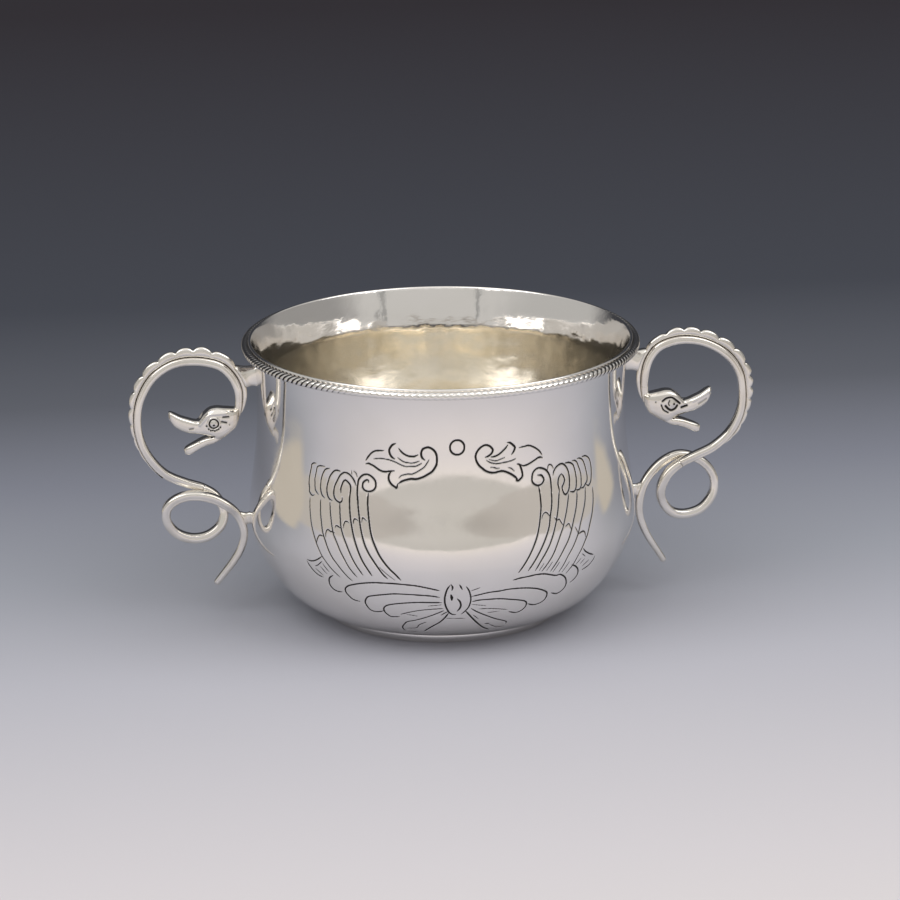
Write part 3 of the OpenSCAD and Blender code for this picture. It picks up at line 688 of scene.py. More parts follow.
# Crease inside, under the flared band: its thickness, height, reach and waves
CREASE = 0.8
CREASE_Z = 60.2
CREASE_REACH = 5.0
CREASE_ROUND = 0.08
CREASE_FADE = 6
CREASE_WAVES = 14
CREASE_WAVE = 0.1
CREASE_COUNTS = (20, 80)
# Strength of the fine ripples, by place
INSIDE_RIPPLE = 2.0
FRONT_RIPPLE = 0.04
SIDE_RIPPLE = 0.5
SIDE_FROM_X = 36
SIDE_TO_X = 46
# Engraving: its depth, and how a cut follows the drawn width and the ends of its stroke
CUT_DEPTH = 0.11
CUT_FLAT = 1.15
CUT_REACH = 3
FINEST_HALF = 0.15
BROADEN = 1.5
FULL_STRENGTH_WIDTH = 0.26
WEAKEST = 0.45
STRONGEST = 1.2
END_SHARE = 0.45
END_LENGTH = 1.6
RING_POINTS = 17
STROKE_STEPS = 24
SAMPLE_STEP = 0.06
LEAST_SAMPLES = 3


def body_rows():
    """Rows of the bowl's outline: places, directions out of the metal, and shares of inside."""
    edge_z = CUP_H - EDGE_R - EDGE_R * math.sin(LIP_FLARE)
    top_s = np.interp(edge_z, wall[:, 1], wall_s)
    outside_s = np.linspace(0, top_s, round(top_s / GRID_STEP) + 1)
    outside, out = wall_at(outside_s)
    bottom_r = np.arange(BOTTOM_STEP, BASE_R - 1, BOTTOM_STEP)
    bottom = np.stack([bottom_r, np.full_like(bottom_r, FOOT_H)], axis=1)
    turn = np.pi * np.arange(1, EDGE_STEPS) / EDGE_STEPS
    edge_out = np.outer(np.cos(turn), out[-1]) + np.outer(np.sin(turn), [-out[-1][1], out[-1][0]])
    edge = outside[-1] - EDGE_R * out[-1] + EDGE_R * edge_out
    inside = (outside - WALL_T * out)[::-1]
    floor = bottom[::-1] + [0, WALL_T]
    places = np.vstack([bottom, outside, edge, inside, floor])
    down = np.tile([0, -1], (len(bottom), 1))
    outs = np.vstack([down, out, edge_out, -out[::-1], -down])
    within = np.zeros(len(places))
    within[len(bottom) + len(outside) + EDGE_STEPS // 2 :] = 1
    return places, outs, within, outside_s, len(bottom)


def turned(places, angles):
    """Points of outline places turned round the axis, from the front towards +X."""
    r, z = places[..., 0], places[..., 1]
    return np.stack([r * np.sin(angles), -r * np.cos(angles), z + 0 * angles], axis=-1)


def crease(points):
    """Thickness to add inside, under the flared band, up to a wavy line round the bowl."""
    turn = np.arctan2(points[:, 0], -points[:, 1])
    chance = np.random.default_rng(SEED + 2)
    line_z = np.full(len(points), CREASE_Z)
    counts = chance.integers(*CREASE_COUNTS, CREASE_WAVES)
    phases = chance.uniform(0, 2 * np.pi, CREASE_WAVES)
    for count, phase in zip(counts, phases):
        line_z += CREASE_WAVE * np.sin(count * turn + phase)
    off = np.hypot((points[:, 2] - line_z) / CREASE_REACH, CREASE_ROUND)
    return CREASE * np.exp(-off) * smoothstep(CUP_H, CUP_H - CREASE_FADE, points[:, 2])


def ripple_share(points):
    """Strength of the fine ripples outside: more beside the handles than in front."""
    beside = smoothstep(SIDE_FROM_X, SIDE_TO_X, np.abs(points[:, 0]))
    return FRONT_RIPPLE + (SIDE_RIPPLE - FRONT_RIPPLE) * beside


def stroke_samples():
    """Places along the engraved strokes: turn, distance along the wall, half-width and strength."""
    circle = np.linspace(0, 2 * np.pi, RING_POINTS)
    ring = np.stack([RING_U + RING_R * np.cos(circle), RING_Z + RING_R * np.sin(circle)], axis=1)
    strokes = [(width, points, False) for width, points in STROKES.values()]
    found = []
    for width, points, closed in [*strokes, (RING_W, ring, True)]:
        line = spline(points, STROKE_STEPS)
        run = np.concatenate([[0], np.cumsum(np.linalg.norm(np.diff(line, axis=0), axis=1))])
        even = np.linspace(0, run[-1], max(LEAST_SAMPLES, int(run[-1] / SAMPLE_STEP)))
        u, z = (np.interp(even, run, line[:, k]) for k in (0, 1))
        end = np.full_like(even, END_LENGTH) if closed else np.minimum(even, run[-1] - even)
        taper = np.minimum(1, END_SHARE + end / END_LENGTH)
        half = np.maximum(width / 2 * BROADEN * taper, FINEST_HALF)
        strength = np.clip(width * taper / FULL_STRENGTH_WIDTH, WEAKEST, STRONGEST)
        up = np.interp(z, wall[:, 1], wall_s)
        found.append(np.stack([u / BELLY_R, up, half, strength], axis=1))
    return np.vstack(found)


def engraved(points, angles, distances):
    """Depth of the engraving, from 0 to about 1, at a grid of points of the wall."""
    samples = stroke_samples()
    rows, columns = points.shape[:2]
    column = np.rint((samples[:, 0] - angles[0]) / (angles[1] - angles[0])).astype(int)
    row = np.rint((samples[:, 1] - distances[0]) / (distances[1] - distances[0])).astype(int)
    sample_places, _ = wall_at(samples[:, 1])
    sample_points = turned(sample_places, samples[:, 0])
    depth = np.zeros(rows * columns)
    for row_step, column_step in product(range(-CUT_REACH, CUT_REACH + 1), repeat=2):
        near_row, near_column = row + row_step, column + column_step
        kept = (near_row >= 0) & (near_row < rows) & (near_column >= 0) & (near_column < columns)
        near = points[near_row[kept], near_column[kept]]
        ratio = np.linalg.norm(near - sample_points[kept], axis=1) / samples[kept, 2]
        cut = samples[kept, 3] * np.clip(CUT_FLAT - ratio**2, 0, 1)
        np.maximum.at(depth, near_row[kept] * columns + near_column[kept], cut)
    return depth.reshape(rows, columns)


def body_faces(ids, fine_ids, low, high):
    """Faces of the fine patch, and of the even grid round it, which shares the patch's edges."""
    below, above = fine_ids[:-1], fine_ids[1:]
    quads = np.stack([below[:, :-1], below[:, 1:], above[:, 1:], above[:, :-1]], axis=-1)
    faces = quads.reshape(-1, 4).tolist()
    for i, j in product(range(len(ids) - 1), range(COLUMNS)):
        k = (j + 1) % COLUMNS
        in_columns = PATCH_LEFT <= j < PATCH_RIGHT
        in_rows = low <= i < high
        if in_columns and in_rows:
            continue
        across = (j - PATCH_LEFT) * FINE
        up = (i - low) * FINE
        face = [ids[i, j], ids[i, k], ids[i + 1, k], ids[i + 1, j]]
        if in_columns and i == high:
            face = [*fine_ids[-1, across : across + FINE + 1], *face[2:]]
        elif in_columns and i + 1 == low:
            face = [*face[:2], *fine_ids[0, across : across + FINE + 1][::-1]]
        elif in_rows and j == PATCH_RIGHT:
            face = [*face[1:3], *fine_ids[up : up + FINE + 1, -1][::-1]]
        elif in_rows and k == PATCH_LEFT:
            face = [face[3], face[0], *fine_ids[up : up + FINE + 1, 0]]
        faces.append([int(index) for index in face])
    return faces


def make_body():
    """The bowl, hammered inside and out, with the engraving cut into its front."""
    places, outs, within, outside_s, first = body_rows()
    angles = (np.arange(COLUMNS) - FRONT) * 2 * np.pi / COLUMNS
    outside_z = places[first : first + len(outside_s), 1]
    low = first + int(np.searchsorted(outside_z, PATCH_LOW_Z)) - 1
    high = first + int(np.searchsorted(outside_z, PATCH_HIGH_Z))
    rows = len(places)
    coarse_points = turned(places[:, None, :], angles[None, :])
    coarse_outs = turned(outs[:, None, :], angles[None, :])

    across = (PATCH_RIGHT - PATCH_LEFT) * FINE + 1
    fine_angles = np.linspace(angles[PATCH_LEFT], angles[PATCH_RIGHT], across)
    fine_s = np.linspace(outside_s[low - first], outside_s[high - first], (high - low) * FINE + 1)
    fine_places, fine_dirs = wall_at(fine_s)
    fine_points = turned(fine_places[:, None, :], fine_angles[None, :])
    fine_outs = turned(fine_dirs[:, None, :], fine_angles[None, :])
    cut = engraved(fine_points, fine_angles, fine_s)

    kept = np.ones((rows, COLUMNS), bool)
    kept[low : high + 1, PATCH_LEFT : PATCH_RIGHT + 1] = False
    ids = np.full((rows, COLUMNS), -1)
    ids[kept] = np.arange(kept.sum())
    fine_ids = kept.sum() + np.arange(cut.size).reshape(cut.shape)
    ids[low : high + 1, PATCH_LEFT : PATCH_RIGHT + 1] = fine_ids[::FINE, ::FINE]

    inside = np.repeat(within[:, None], COLUMNS, axis=1)[kept]
    coarse = coarse_points[kept]
    coarse_dirs = coarse_outs[kept]
    marks = np.where(
        inside > 0,
        INSIDE_DEPTH * dimples(coarse * (1, 1, INSIDE_SQUEEZE), INSIDE_MARK, SEED),
        OUTSIDE_DEPTH * dimples(coarse, OUTSIDE_MARK, SEED + 1))
    on_edge = coarse[:, 2] > CUP_H - EDGE_PLAIN
    on_bottom = (inside == 0) & (coarse[:, 2] < FOOT_H + LEVEL_SLACK)
    marks[on_edge | on_bottom] = 0
    marks += inside * crease(coarse)
    ripple = np.where(inside > 0, INSIDE_RIPPLE, ripple_share(coarse))
    coarse = coarse + marks[:, None] * coarse_dirs
    flat_points = fine_points.reshape(-1, 3)
    fine_marks = OUTSIDE_DEPTH * dimples(flat_points, OUTSIDE_MARK, SEED + 1)
    fine_marks -= CUT_DEPTH * cut.ravel()
    fine = flat_points + fine_marks[:, None] * fine_outs.reshape(-1, 3)

    poles = [[0, 0, FOOT_H], [0, 0, FOOT_H + WALL_T]]
    verts = np.vstack([coarse, fine, poles])

    bottom_pole, floor_pole = len(verts) - 2, len(verts) - 1
    faces = body_faces(ids, fine_ids, low, high)
    for j in range(COLUMNS):
        k = (j + 1) % COLUMNS
        faces.append([bottom_pole, int(ids[0, k]), int(ids[0, j])])
        faces.append([floor_pole, int(ids[-1, j]), int(ids[-1, k])])

    piece = make_piece("body", verts, faces, "body_shell", "raised_silver", sheet_metal)
    set_values(piece, "cut", np.concatenate([np.zeros(len(coarse)), cut.ravel(), [0, 0]]))
    set_values(piece, "inside", np.concatenate([inside, np.zeros(cut.size), [0, 1]]))
    set_values(piece, "ripple", np.concatenate([ripple, ripple_share(flat_points), [0, 1]]))


make_body()

# Rim wire: three strands twisted together
STRANDS = 3
STEPS_PER_TURN = 24
ROPE_STEPS = ROPE_TURNS * STEPS_PER_TURN
ROPE_SIDES = 18
STRAND_R = 0.79
STRAND_OUT = 0.21
# Painted shade, with some tarnish, between the strands: its darkness, by place, and how far up it reaches
VALLEY_SHADE = 0.6
FRONT_SHADE_SHARE = 0.34
SHADE_RISE = 0.055
SHADE_FROM_X = 20
SHADE_TO_X = 42
VALLEY_TOP = 0.92
VALLEY_BOTTOM = 0.88


def make_rope():
    """The wire, with painted shade and some tarnish between its strands, most of it beside the handles."""
    rope_z = CUP_H - ROPE_DROP - ROPE_R
    clear = ROPE_R + SOLDER_GAP - (CUP_H - rope_z) * math.sin(LIP_FLARE)
    ring_r = LIP_R + clear / math.cos(LIP_FLARE)
    along = np.arange(ROPE_STEPS) * 2 * np.pi / ROPE_STEPS
    around = np.arange(ROPE_SIDES) * 2 * np.pi / ROPE_SIDES
    phase = around[None, :] - ROPE_TURNS * along[:, None]
    strand_turn = 2 * np.pi / STRANDS
    off = np.mod(phase, strand_turn) - strand_turn / 2
    reach = STRAND_OUT * np.cos(off) + np.sqrt(STRAND_R**2 - (STRAND_OUT * np.sin(off)) ** 2)
    r = ring_r + reach * np.cos(around)
    z = rope_z + reach * np.sin(around)
    points = np.stack([r * np.sin(along)[:, None], -r * np.cos(along)[:, None], z], axis=-1)
    piece = make_piece(
        "rim_wire", points.reshape(-1, 3), ring_faces(ROPE_STEPS, ROPE_SIDES),
        "rim_rope_wire", "raised_silver", sheet_metal)
    # The wire's kept cut value is painted shade in the valleys between its strands, heavier beside the
    # handles
    beside = smoothstep(SHADE_FROM_X, SHADE_TO_X, np.abs(points[..., 0]))
    shade_share = FRONT_SHADE_SHARE + (1 - FRONT_SHADE_SHARE) * beside
    deep = smoothstep(VALLEY_TOP, VALLEY_BOTTOM, reach - SHADE_RISE * beside)
    set_values(piece, "cut", (VALLEY_SHADE * shade_share * deep).ravel())


make_rope()

# Foot: a band with soft edges and a slight swell outside
FOOT_COLUMNS = 240
FOOT_EDGE = 0.45
FOOT_EDGE_POINTS = 5
FOOT_SWELL = 0.12


def make_foot():
    """The band under the bottom, with its four edges rounded."""
    corners = [
        (FOOT_R - FOOT_T, 0, 1, -1), (FOOT_R - FOOT_SWELL, 0, -1, -1),
        (FOOT_R - FOOT_SWELL, FOOT_H, -1, 1), (FOOT_R - FOOT_T, FOOT_H, 1, 1)]
    outline = []
    for r, z, in_r, up in corners:
        centre = np.array([r + in_r * FOOT_EDGE, z - up * FOOT_EDGE])
        middle = math.atan2(up, -in_r)
        for turn in np.linspace(middle - np.pi / 4, middle + np.pi / 4, FOOT_EDGE_POINTS):
            outline.append(centre + FOOT_EDGE * np.array([math.cos(turn), math.sin(turn)]))
    outline = np.array(outline)
    swell = FOOT_SWELL * (1 - (2 * outline[:, 1] / FOOT_H - 1) ** 2)
    outline[:, 0] += np.where(outline[:, 0] > FOOT_R - FOOT_T / 2, swell, 0)
    angles = np.arange(FOOT_COLUMNS) * 2 * np.pi / FOOT_COLUMNS
    points = turned(outline[None, :, :], angles[:, None])
    verts = points.reshape(-1, 3)
    faces = outward(verts, ring_faces(FOOT_COLUMNS, len(outline)))
    make_piece("foot", verts, faces, "foot_ring", "raised_silver", sheet_metal)


make_foot()

# Handles: bent bars with a bead along their outer edge, drawn on the +X side
BAR_STEPS = 12
BAR_SIDES = 40
GROOVE_AT = 0.42
GROOVE_WIDE = 0.13
GROOVE_DEEP = 0.1
BAR_SQUARENESS = 0.6
NECK_JOINT = 1
LOOP_JOINT = 14
CREST_END = 12
LUG_SHARES = (0.28, 0.86)
TIP_STEPS = 5
TIP_BLUNT = 0.4
LOOP_SWELL = 0.1
SWELL_STEPS = 12


class Bar:
    """The middle line of a handle's bar, its width and the direction to its outer side."""

    def __init__(self, points):
        rows = spline(points, BAR_STEPS)
        share = rows[:, 1] / 100
        start = np.interp(share, LUG_SHARES, (BELLY_R, wall_r(UPPER_LUG_Z) + NECK_STEP))
        self.x = start + rows[:, 0] / 100 * HANDLE_REACH
        self.z = HANDLE_Z + share * HANDLE_H
        self.y = rows[:, 2] * SIDE_STEP
        self.half = rows[:, 3] * BAR_W / 2
        ahead = np.stack([np.gradient(self.x), np.gradient(self.z)], axis=1)
        self.ahead = ahead / np.linalg.norm(ahead, axis=1)[:, None]
        self.left = np.stack([-self.ahead[:, 1], self.ahead[:, 0]], axis=1)
        self.param = np.arange(len(rows)) / BAR_STEPS

    def at(self, p, values):
        """Values kept along the bar, read at a point along it."""
        return np.interp(p, self.param, values)

    def place(self, p):
        """Middle, outer direction and half-width at a point along the bar."""
        middle = np.stack([self.at(p, self.x), self.at(p, self.z)], axis=-1)
        left = np.stack([self.at(p, self.left[:, 0]), self.at(p, self.left[:, 1])], axis=-1)
        left = left / np.linalg.norm(left, axis=-1)[..., None]
        return middle, left, self.at(p, self.half)


def bar_section():
    """Shares of half-width and half-thickness round a bar's section, with its groove."""
    turn = np.arange(BAR_SIDES) * 2 * np.pi / BAR_SIDES
    out, across = soft(np.cos(turn), BAR_SQUARENESS), soft(np.sin(turn), BAR_SQUARENESS)
    dip = GROOVE_DEEP * np.exp(-(((out - GROOVE_AT) / GROOVE_WIDE) ** 2))
    return out, across * (1 - dip)


def bar_rings(bar, first, last, grow=0.0, swell=0.0, extra=0, tip=False):
    """Rings round a stretch of the bar, grown evenly or swelling from its first end."""
    out, across = bar_section()
    rings = []
    for i in range(first * BAR_STEPS, last * BAR_STEPS + 1 + extra):
        more = grow + swell * smoothstep(0, SWELL_STEPS, i - first * BAR_STEPS)
        half_w = bar.half[i] + more
        half_t = bar.half[i] * BAR_T / BAR_W + more
        rings.append(ring_at(bar, i, out * half_w, across * half_t))
    if tip:
        i = last * BAR_STEPS
        half_w = bar.half[i] + swell
        for k in range(1, TIP_STEPS + 1):
            turn = math.pi / 2 * k / (TIP_STEPS + TIP_BLUNT)
            size = half_w * math.cos(turn)
            ring = ring_at(bar, i, out * size, across * size * BAR_T / BAR_W)
            step = half_w * math.sin(turn) * bar.ahead[i]
            rings.append(ring + np.array([step[0], 0, step[1]]))
    return rings


def ring_at(bar, i, out, across):
    """One ring of points round the bar, from their distances outward and across."""
    left = bar.left[i]
    return np.stack([bar.x[i] + out * left[0], bar.y[i] + across, bar.z[i] + out * left[1]], axis=1)


def sided(part, side):
    """The part as drawn for the right handle, or turned half round for the left one."""
    verts, faces = part
    return np.asarray(verts) * (side, side, 1), faces


# Crest: lobes along the outer edge, each as its place along the bar and its height
CREST_STEPS = 26
CREST_FIRST = 0.2
CREST_SIDES = 9
SMOOTH_END = 3.2
SMOOTH_BLADE = 1.26
BLADE_RISE = 1.2
BLADE_POWER = 0.6
VALLEY_SHARE = 0.54
LOBES_FADE = 0.8
LEAST_CREST = 0.05
FULL_CREST = 1.4
THIN_SHARE = 0.6
CREST_FOOT_LOW = 0.18
CREST_FOOT_HIGH = 0.34
CREST_FOOT_THICK = [0.5, 0.5, 0.95]
# Darkness of the crest foot's points: painted shade in the recess where the crest meets the bar
CREST_FOOT_SHADE = [0.42, 0.36, 0.03]
CROWN_SHARE = 0.5
CROWN_POWER = 0.8
CREST_SQUARENESS = 0.6


def crest_heights(lobes, p):
    """Height of the crest along the bar: a thin smooth blade, then lobes with sharp valleys."""
    places = np.array([place for place, _ in lobes])
    heights = np.array([height for _, height in lobes])
    edges = np.concatenate([[SMOOTH_END], (places[1:] + places[:-1]) / 2, [CREST_END]])
    spot = np.clip(np.searchsorted(edges, p) - 1, 0, len(places) - 1)
    left, right = edges[spot], edges[spot + 1]
    middle = places[spot]
    off = np.where(p < middle, (middle - p) / (middle - left), (p - middle) / (right - middle))
    round_top = np.sqrt(np.clip(1 - off**2, 0, 1))
    envelope = np.interp(p, places, heights)
    lobed = envelope * (VALLEY_SHARE + (1 - VALLEY_SHARE) * round_top)
    lobed = lobed * smoothstep(CREST_END, CREST_END - LOBES_FADE, p)
    blade = SMOOTH_BLADE * np.clip((p - CREST_FIRST) / BLADE_RISE, 0, 1) ** BLADE_POWER
    return np.maximum(np.where(p < SMOOTH_END, blade, lobed), LEAST_CREST)


def crest_part(bar, lobes):
    """The crest along a bar, narrow at its foot, and the painted shade at that foot."""
    p = np.linspace(CREST_FIRST, CREST_END, int((CREST_END - CREST_FIRST) * CREST_STEPS))
    middle, left, half = bar.place(p)
    height = crest_heights(lobes, p)
    turn = np.linspace(0, np.pi, CREST_SIDES)
    rings = []
    for k in range(len(p)):
        size = min(1, height[k] / FULL_CREST)
        thick = CREST_T / 2 * (THIN_SHARE + (1 - THIN_SHARE) * size)
        foot = np.array([SOLDER_GAP, CREST_FOOT_LOW * size, CREST_FOOT_HIGH * size])
        foot_thick = thick * np.array(CREST_FOOT_THICK)
        crown = max(CROWN_SHARE * height[k], foot[2])
        cap = crown + (height[k] - crown) * soft(np.sin(turn), CROWN_POWER)
        sides = thick * soft(np.cos(turn), CREST_SQUARENESS)
        out = half[k] + np.concatenate([foot, cap, foot[::-1]])
        across = np.concatenate([foot_thick, sides, -foot_thick[::-1]])
        rings.append(np.stack(
            [middle[k, 0] + out * left[k, 0], across, middle[k, 1] + out * left[k, 1]], axis=1))
    # Painted shade in the recess along the crest's foot
    shade = np.concatenate([CREST_FOOT_SHADE, np.zeros(CREST_SIDES), CREST_FOOT_SHADE[::-1]])
    return loft(rings), np.tile(shade, len(p))


# Heads: stations along a head, each as the share of its length and the shares of its
# height of the top and the underside, then the share of its width
SKULL = [
    (0, 0.34, 0, 0.5), (0.05, 0.35, -0.2, 0.8), (0.12, 0.36, -0.32, 0.93), (0.22, 0.38, -0.47, 1),
    (0.32, 0.4, -0.54, 1), (0.42, 0.36, -0.43, 0.97), (0.51, 0.22, -0.38, 0.88),
    (0.58, 0.05, -0.35, 0.78), (0.64, 0.04, -0.33, 0.74), (0.72, 0.09, -0.31, 0.72),
    (0.82, 0.16, -0.24, 0.7), (0.91, 0.25, -0.13, 0.66), (0.965, 0.3, 0, 0.54), (1, 0.3, 0.1, 0.3),
]
LOWER_BILL = [
    (0.25, -0.28, -0.5, 0.8), (0.36, -0.4, -0.62, 0.84), (0.46, -0.45, -0.68, 0.78),
    (0.56, -0.52, -0.77, 0.7), (0.66, -0.62, -0.89, 0.62), (0.72, -0.68, -0.95, 0.56),
    (0.77, -0.74, -0.94, 0.44), (0.795, -0.79, -0.89, 0.2),
]
HEAD_SQUARENESS = 0.5
NAPE_SHARE = 0.13
STATION_STEPS = 5
STATION_SIDES = 28
HEAD_VOXEL = 0.12
HEAD_SMOOTHING = 2
SMOOTHING_SHARE = 0.5
NECK_COVER = 0.035
FACING_FROM = 0.25
FACING_TO = 0.6
MARK_STEPS = 8
SHORTEST = 1e-12


def station_part(stations, length):
    """A closed solid through the stations of a head or of its lower bill."""
    turn = np.arange(STATION_SIDES) * 2 * np.pi / STATION_SIDES
    rings = []
    for along, top, under, wide in spline(stations, STATION_STEPS):
        z = HEAD_H * ((top + under) / 2 + (top - under) / 2 * soft(np.cos(turn), HEAD_SQUARENESS))
        y = HEAD_W / 2 * wide * soft(np.sin(turn), HEAD_SQUARENESS)
        rings.append(np.stack([np.full_like(y, along * length), y, z], axis=1))
    return loft(rings)


def remeshed(part, voxel):
    """One closed surface round several solids that overlap."""
    mesh = bpy.data.meshes.new("joined")
    mesh.from_pydata(np.asarray(part[0]).tolist(), [], part[1])
    scratch = bpy.data.objects.new("joined", mesh)
    bpy.context.scene.collection.objects.link(scratch)
    change = scratch.modifiers.new("closed", "REMESH")
    change.mode = "VOXEL"
    change.voxel_size = voxel
    ease = scratch.modifiers.new("eased", "SMOOTH")
    ease.factor = SMOOTHING_SHARE
    ease.iterations = HEAD_SMOOTHING
    bpy.context.view_layer.update()
    evaluated = scratch.evaluated_get(bpy.context.evaluated_depsgraph_get())
    solid = bpy.data.meshes.new_from_object(evaluated)
    verts = np.array([vertex.co for vertex in solid.vertices])
    normals = np.array([vertex.normal for vertex in solid.vertices])
    faces = [list(face.vertices) for face in solid.polygons]
    bpy.data.objects.remove(scratch)
    bpy.data.meshes.remove(mesh)
    bpy.data.meshes.remove(solid)
    return verts, faces, normals


def line_distance(points, line):
    """Distance of flat points from a line of points."""
    best = np.full(len(points), np.inf)
    line = np.asarray(line, float)
    if len(line) == 1:
        return np.linalg.norm(points - line[0], axis=1)
    smooth = spline(line, MARK_STEPS)
    for a, b in zip(smooth[:-1], smooth[1:]):
        along = b - a
        t = np.clip((points - a) @ along / (along @ along + SHORTEST), 0, 1)
        best = np.minimum(best, np.linalg.norm(points - a - t[:, None] * along, axis=1))
    return best


def head_piece(name, bar, length, tilt, marks, side):
    """A head in one surface with the start of its bar, and its marks cut or raised."""
    nape = np.array([bar.x[NECK_JOINT * BAR_STEPS], 0, bar.z[0] - NAPE_SHARE * HEAD_H])
    c, s = math.cos(math.radians(tilt)), math.sin(math.radians(tilt))
    turn = np.array([[c, 0, -s], [0, 1, 0], [s, 0, c]])
    skull = station_part(SKULL, length)
    bill = station_part(LOWER_BILL, length)
    neck_verts, neck_faces = loft(bar_rings(bar, 0, NECK_JOINT, grow=NECK_COVER, extra=1))
    local_neck = (neck_verts - nape) @ turn
    verts, faces, normals = remeshed(joined(skull, bill, (local_neck, neck_faces)), HEAD_VOXEL)
    flat = (verts @ turn.T)[:, [0, 2]]
    facing = smoothstep(FACING_FROM, FACING_TO, np.abs(normals[:, 1]))
    lift = np.zeros(len(verts))
    dark = np.zeros(len(verts))
    for line, half, rise, shade in marks:
        near = np.exp(-((line_distance(flat, line) / half) ** 2)) * facing
        lift += rise * near
        dark = np.maximum(dark, shade * near)
    verts = verts + lift[:, None] * normals
    verts = verts @ turn.T + nape
    node = name.replace("head", "bird_head")
    piece = make_piece(name, *sided((verts, faces), side), node, "cast_silver", cast_metal)
    set_values(piece, "dark", dark)


# Lugs: short blocks, waisted between the bowl and the bar
LUG_SIDES = 32
LUG_STEPS = 14
WALL_SINK = 0.35
LUG_SQUARENESS = 0.55
WAIST_RUN = 1.15
WAIST_POWER = 0.8
UPPER_WAIST = 0.12
LOWER_WAIST = 0.2
UPPER_SINK = 0.1
LOWER_SINK = 0.15
UPPER_LUG_SPAN = (1, 4.4)
LOWER_LUG_SPAN = 2.2
LUG_LINE_POINTS = 60
LEFT_LUG_AT = 27.2
RIGHT_LUG_AT = 27.6


def lug_part(z, height, thickness, waist, end_line):
    """A lug from inside the wall to a line of points of the bar."""
    turn = np.arange(LUG_SIDES) * 2 * np.pi / LUG_SIDES
    rings = []
    for t in np.linspace(0, 1, LUG_STEPS):
        narrow = 1 - waist * np.sin(math.pi * min(1, t * WAIST_RUN)) ** WAIST_POWER
        up = height / 2 * narrow * soft(np.cos(turn), LUG_SQUARENESS)
        across = thickness / 2 * narrow * soft(np.sin(turn), LUG_SQUARENESS)
        start = wall_r(z + up) - WALL_SINK
        start = np.sqrt(np.maximum(start**2 - across**2, 0))
        end = np.interp(z + up, end_line[:, 1], end_line[:, 0])
        rings.append(np.stack([start + t * (end - start), across, z + up], axis=1))
    return loft(rings)


CIRCLE_POINTS = 13


def circle_line(centre, radius):
    """A ring of points round a centre, with its first point again at its end."""
    turn = np.linspace(0, 2 * np.pi, CIRCLE_POINTS)
    return np.stack([centre[0] + radius * np.cos(turn), centre[1] + radius * np.sin(turn)], axis=1)


# Chased marks of the heads, in millimetres from the nape: line, half-width, rise and darkness
LEFT_EYE = (6.45, -0.2)
LEFT_STIPPLE = [
    (8.25, -0.75), (7.75, -1.55), (7.25, -1.95), (6.75, -1.85), (6.25, -2.05), (5.75, -1.8),
    (5.3, -1.6), (4.85, -1.15),
]
LEFT_MARKS = [
    (circle_line(LEFT_EYE, 1.5), 0.22, 0.2, 0),
    (circle_line(LEFT_EYE, 1.14), 0.19, -0.16, 0.9),
    ([LEFT_EYE], 0.6, 0.3, 0),
    ([(6.45, -0.55)], 0.3, -0.1, 0.9),
    ([(9.9, -0.5), (8.7, 1), (7.45, 2.1), (5.8, 2.3), (3.4, 2.35)], 0.32, 0.24, 0),
    *[([spot], 0.25, -0.12, 0.85) for spot in LEFT_STIPPLE],
    ([(4.1, 1.45), (2.7, 1.5)], 0.28, -0.12, 0.6),
    ([(4.45, 0.3), (3.3, 0)], 0.28, -0.12, 0.6),
    ([(2.5, -0.6)], 0.22, -0.08, 0.4),
    ([(6.4, -3.75), (7.2, -3.85), (8.5, -3.95)], 0.2, -0.2, 0.9),
    ([(10.25, -5.1)], 0.22, -0.08, 0.6),
    ([(11.6, -1.4), (12.5, -1.55)], 0.27, -0.1, 0.45),
]
RIGHT_MARKS = [
    ([(4.3, 1.6), (5.25, 2.25), (6.6, 2.4), (7.7, 1.7), (8.75, 0.75)], 0.27, -0.16, 0.95),
    ([(5.05, 0.25), (5.8, -0.55), (6.55, -0.9), (7.5, -0.5), (8.05, 0.25)], 0.29, -0.16, 0.95),
    ([(6.1, 1.65), (5.8, 0.9), (6, 0.35)], 0.2, -0.1, 0.6),
    ([(6.9, 0.75)], 0.7, 0.28, 0),
    ([(7.2, 0.7)], 0.32, -0.1, 0.9),
    ([(9.2, -0.35), (10.6, 0)], 0.3, -0.14, 0.85),
    ([(12.25, 1.05), (14.5, 2.2), (16.7, 3.35)], 0.3, 0.16, 0),
    ([(13.75, 0.3), (15.7, 1.45)], 0.3, -0.12, 0.35),
    ([(3.95, 0.55), (4.5, -0.7), (5.7, -1.5)], 0.22, -0.12, 0.7),
    ([(2.55, 1.35)], 0.22, -0.1, 0.6),
    ([(7.3, -3.4)], 0.22, -0.1, 0.7),
    ([(8.25, -3.35)], 0.22, -0.1, 0.7),
    ([(8.35, -2.4), (10.25, -2.05)], 0.2, -0.1, 0.6),
]

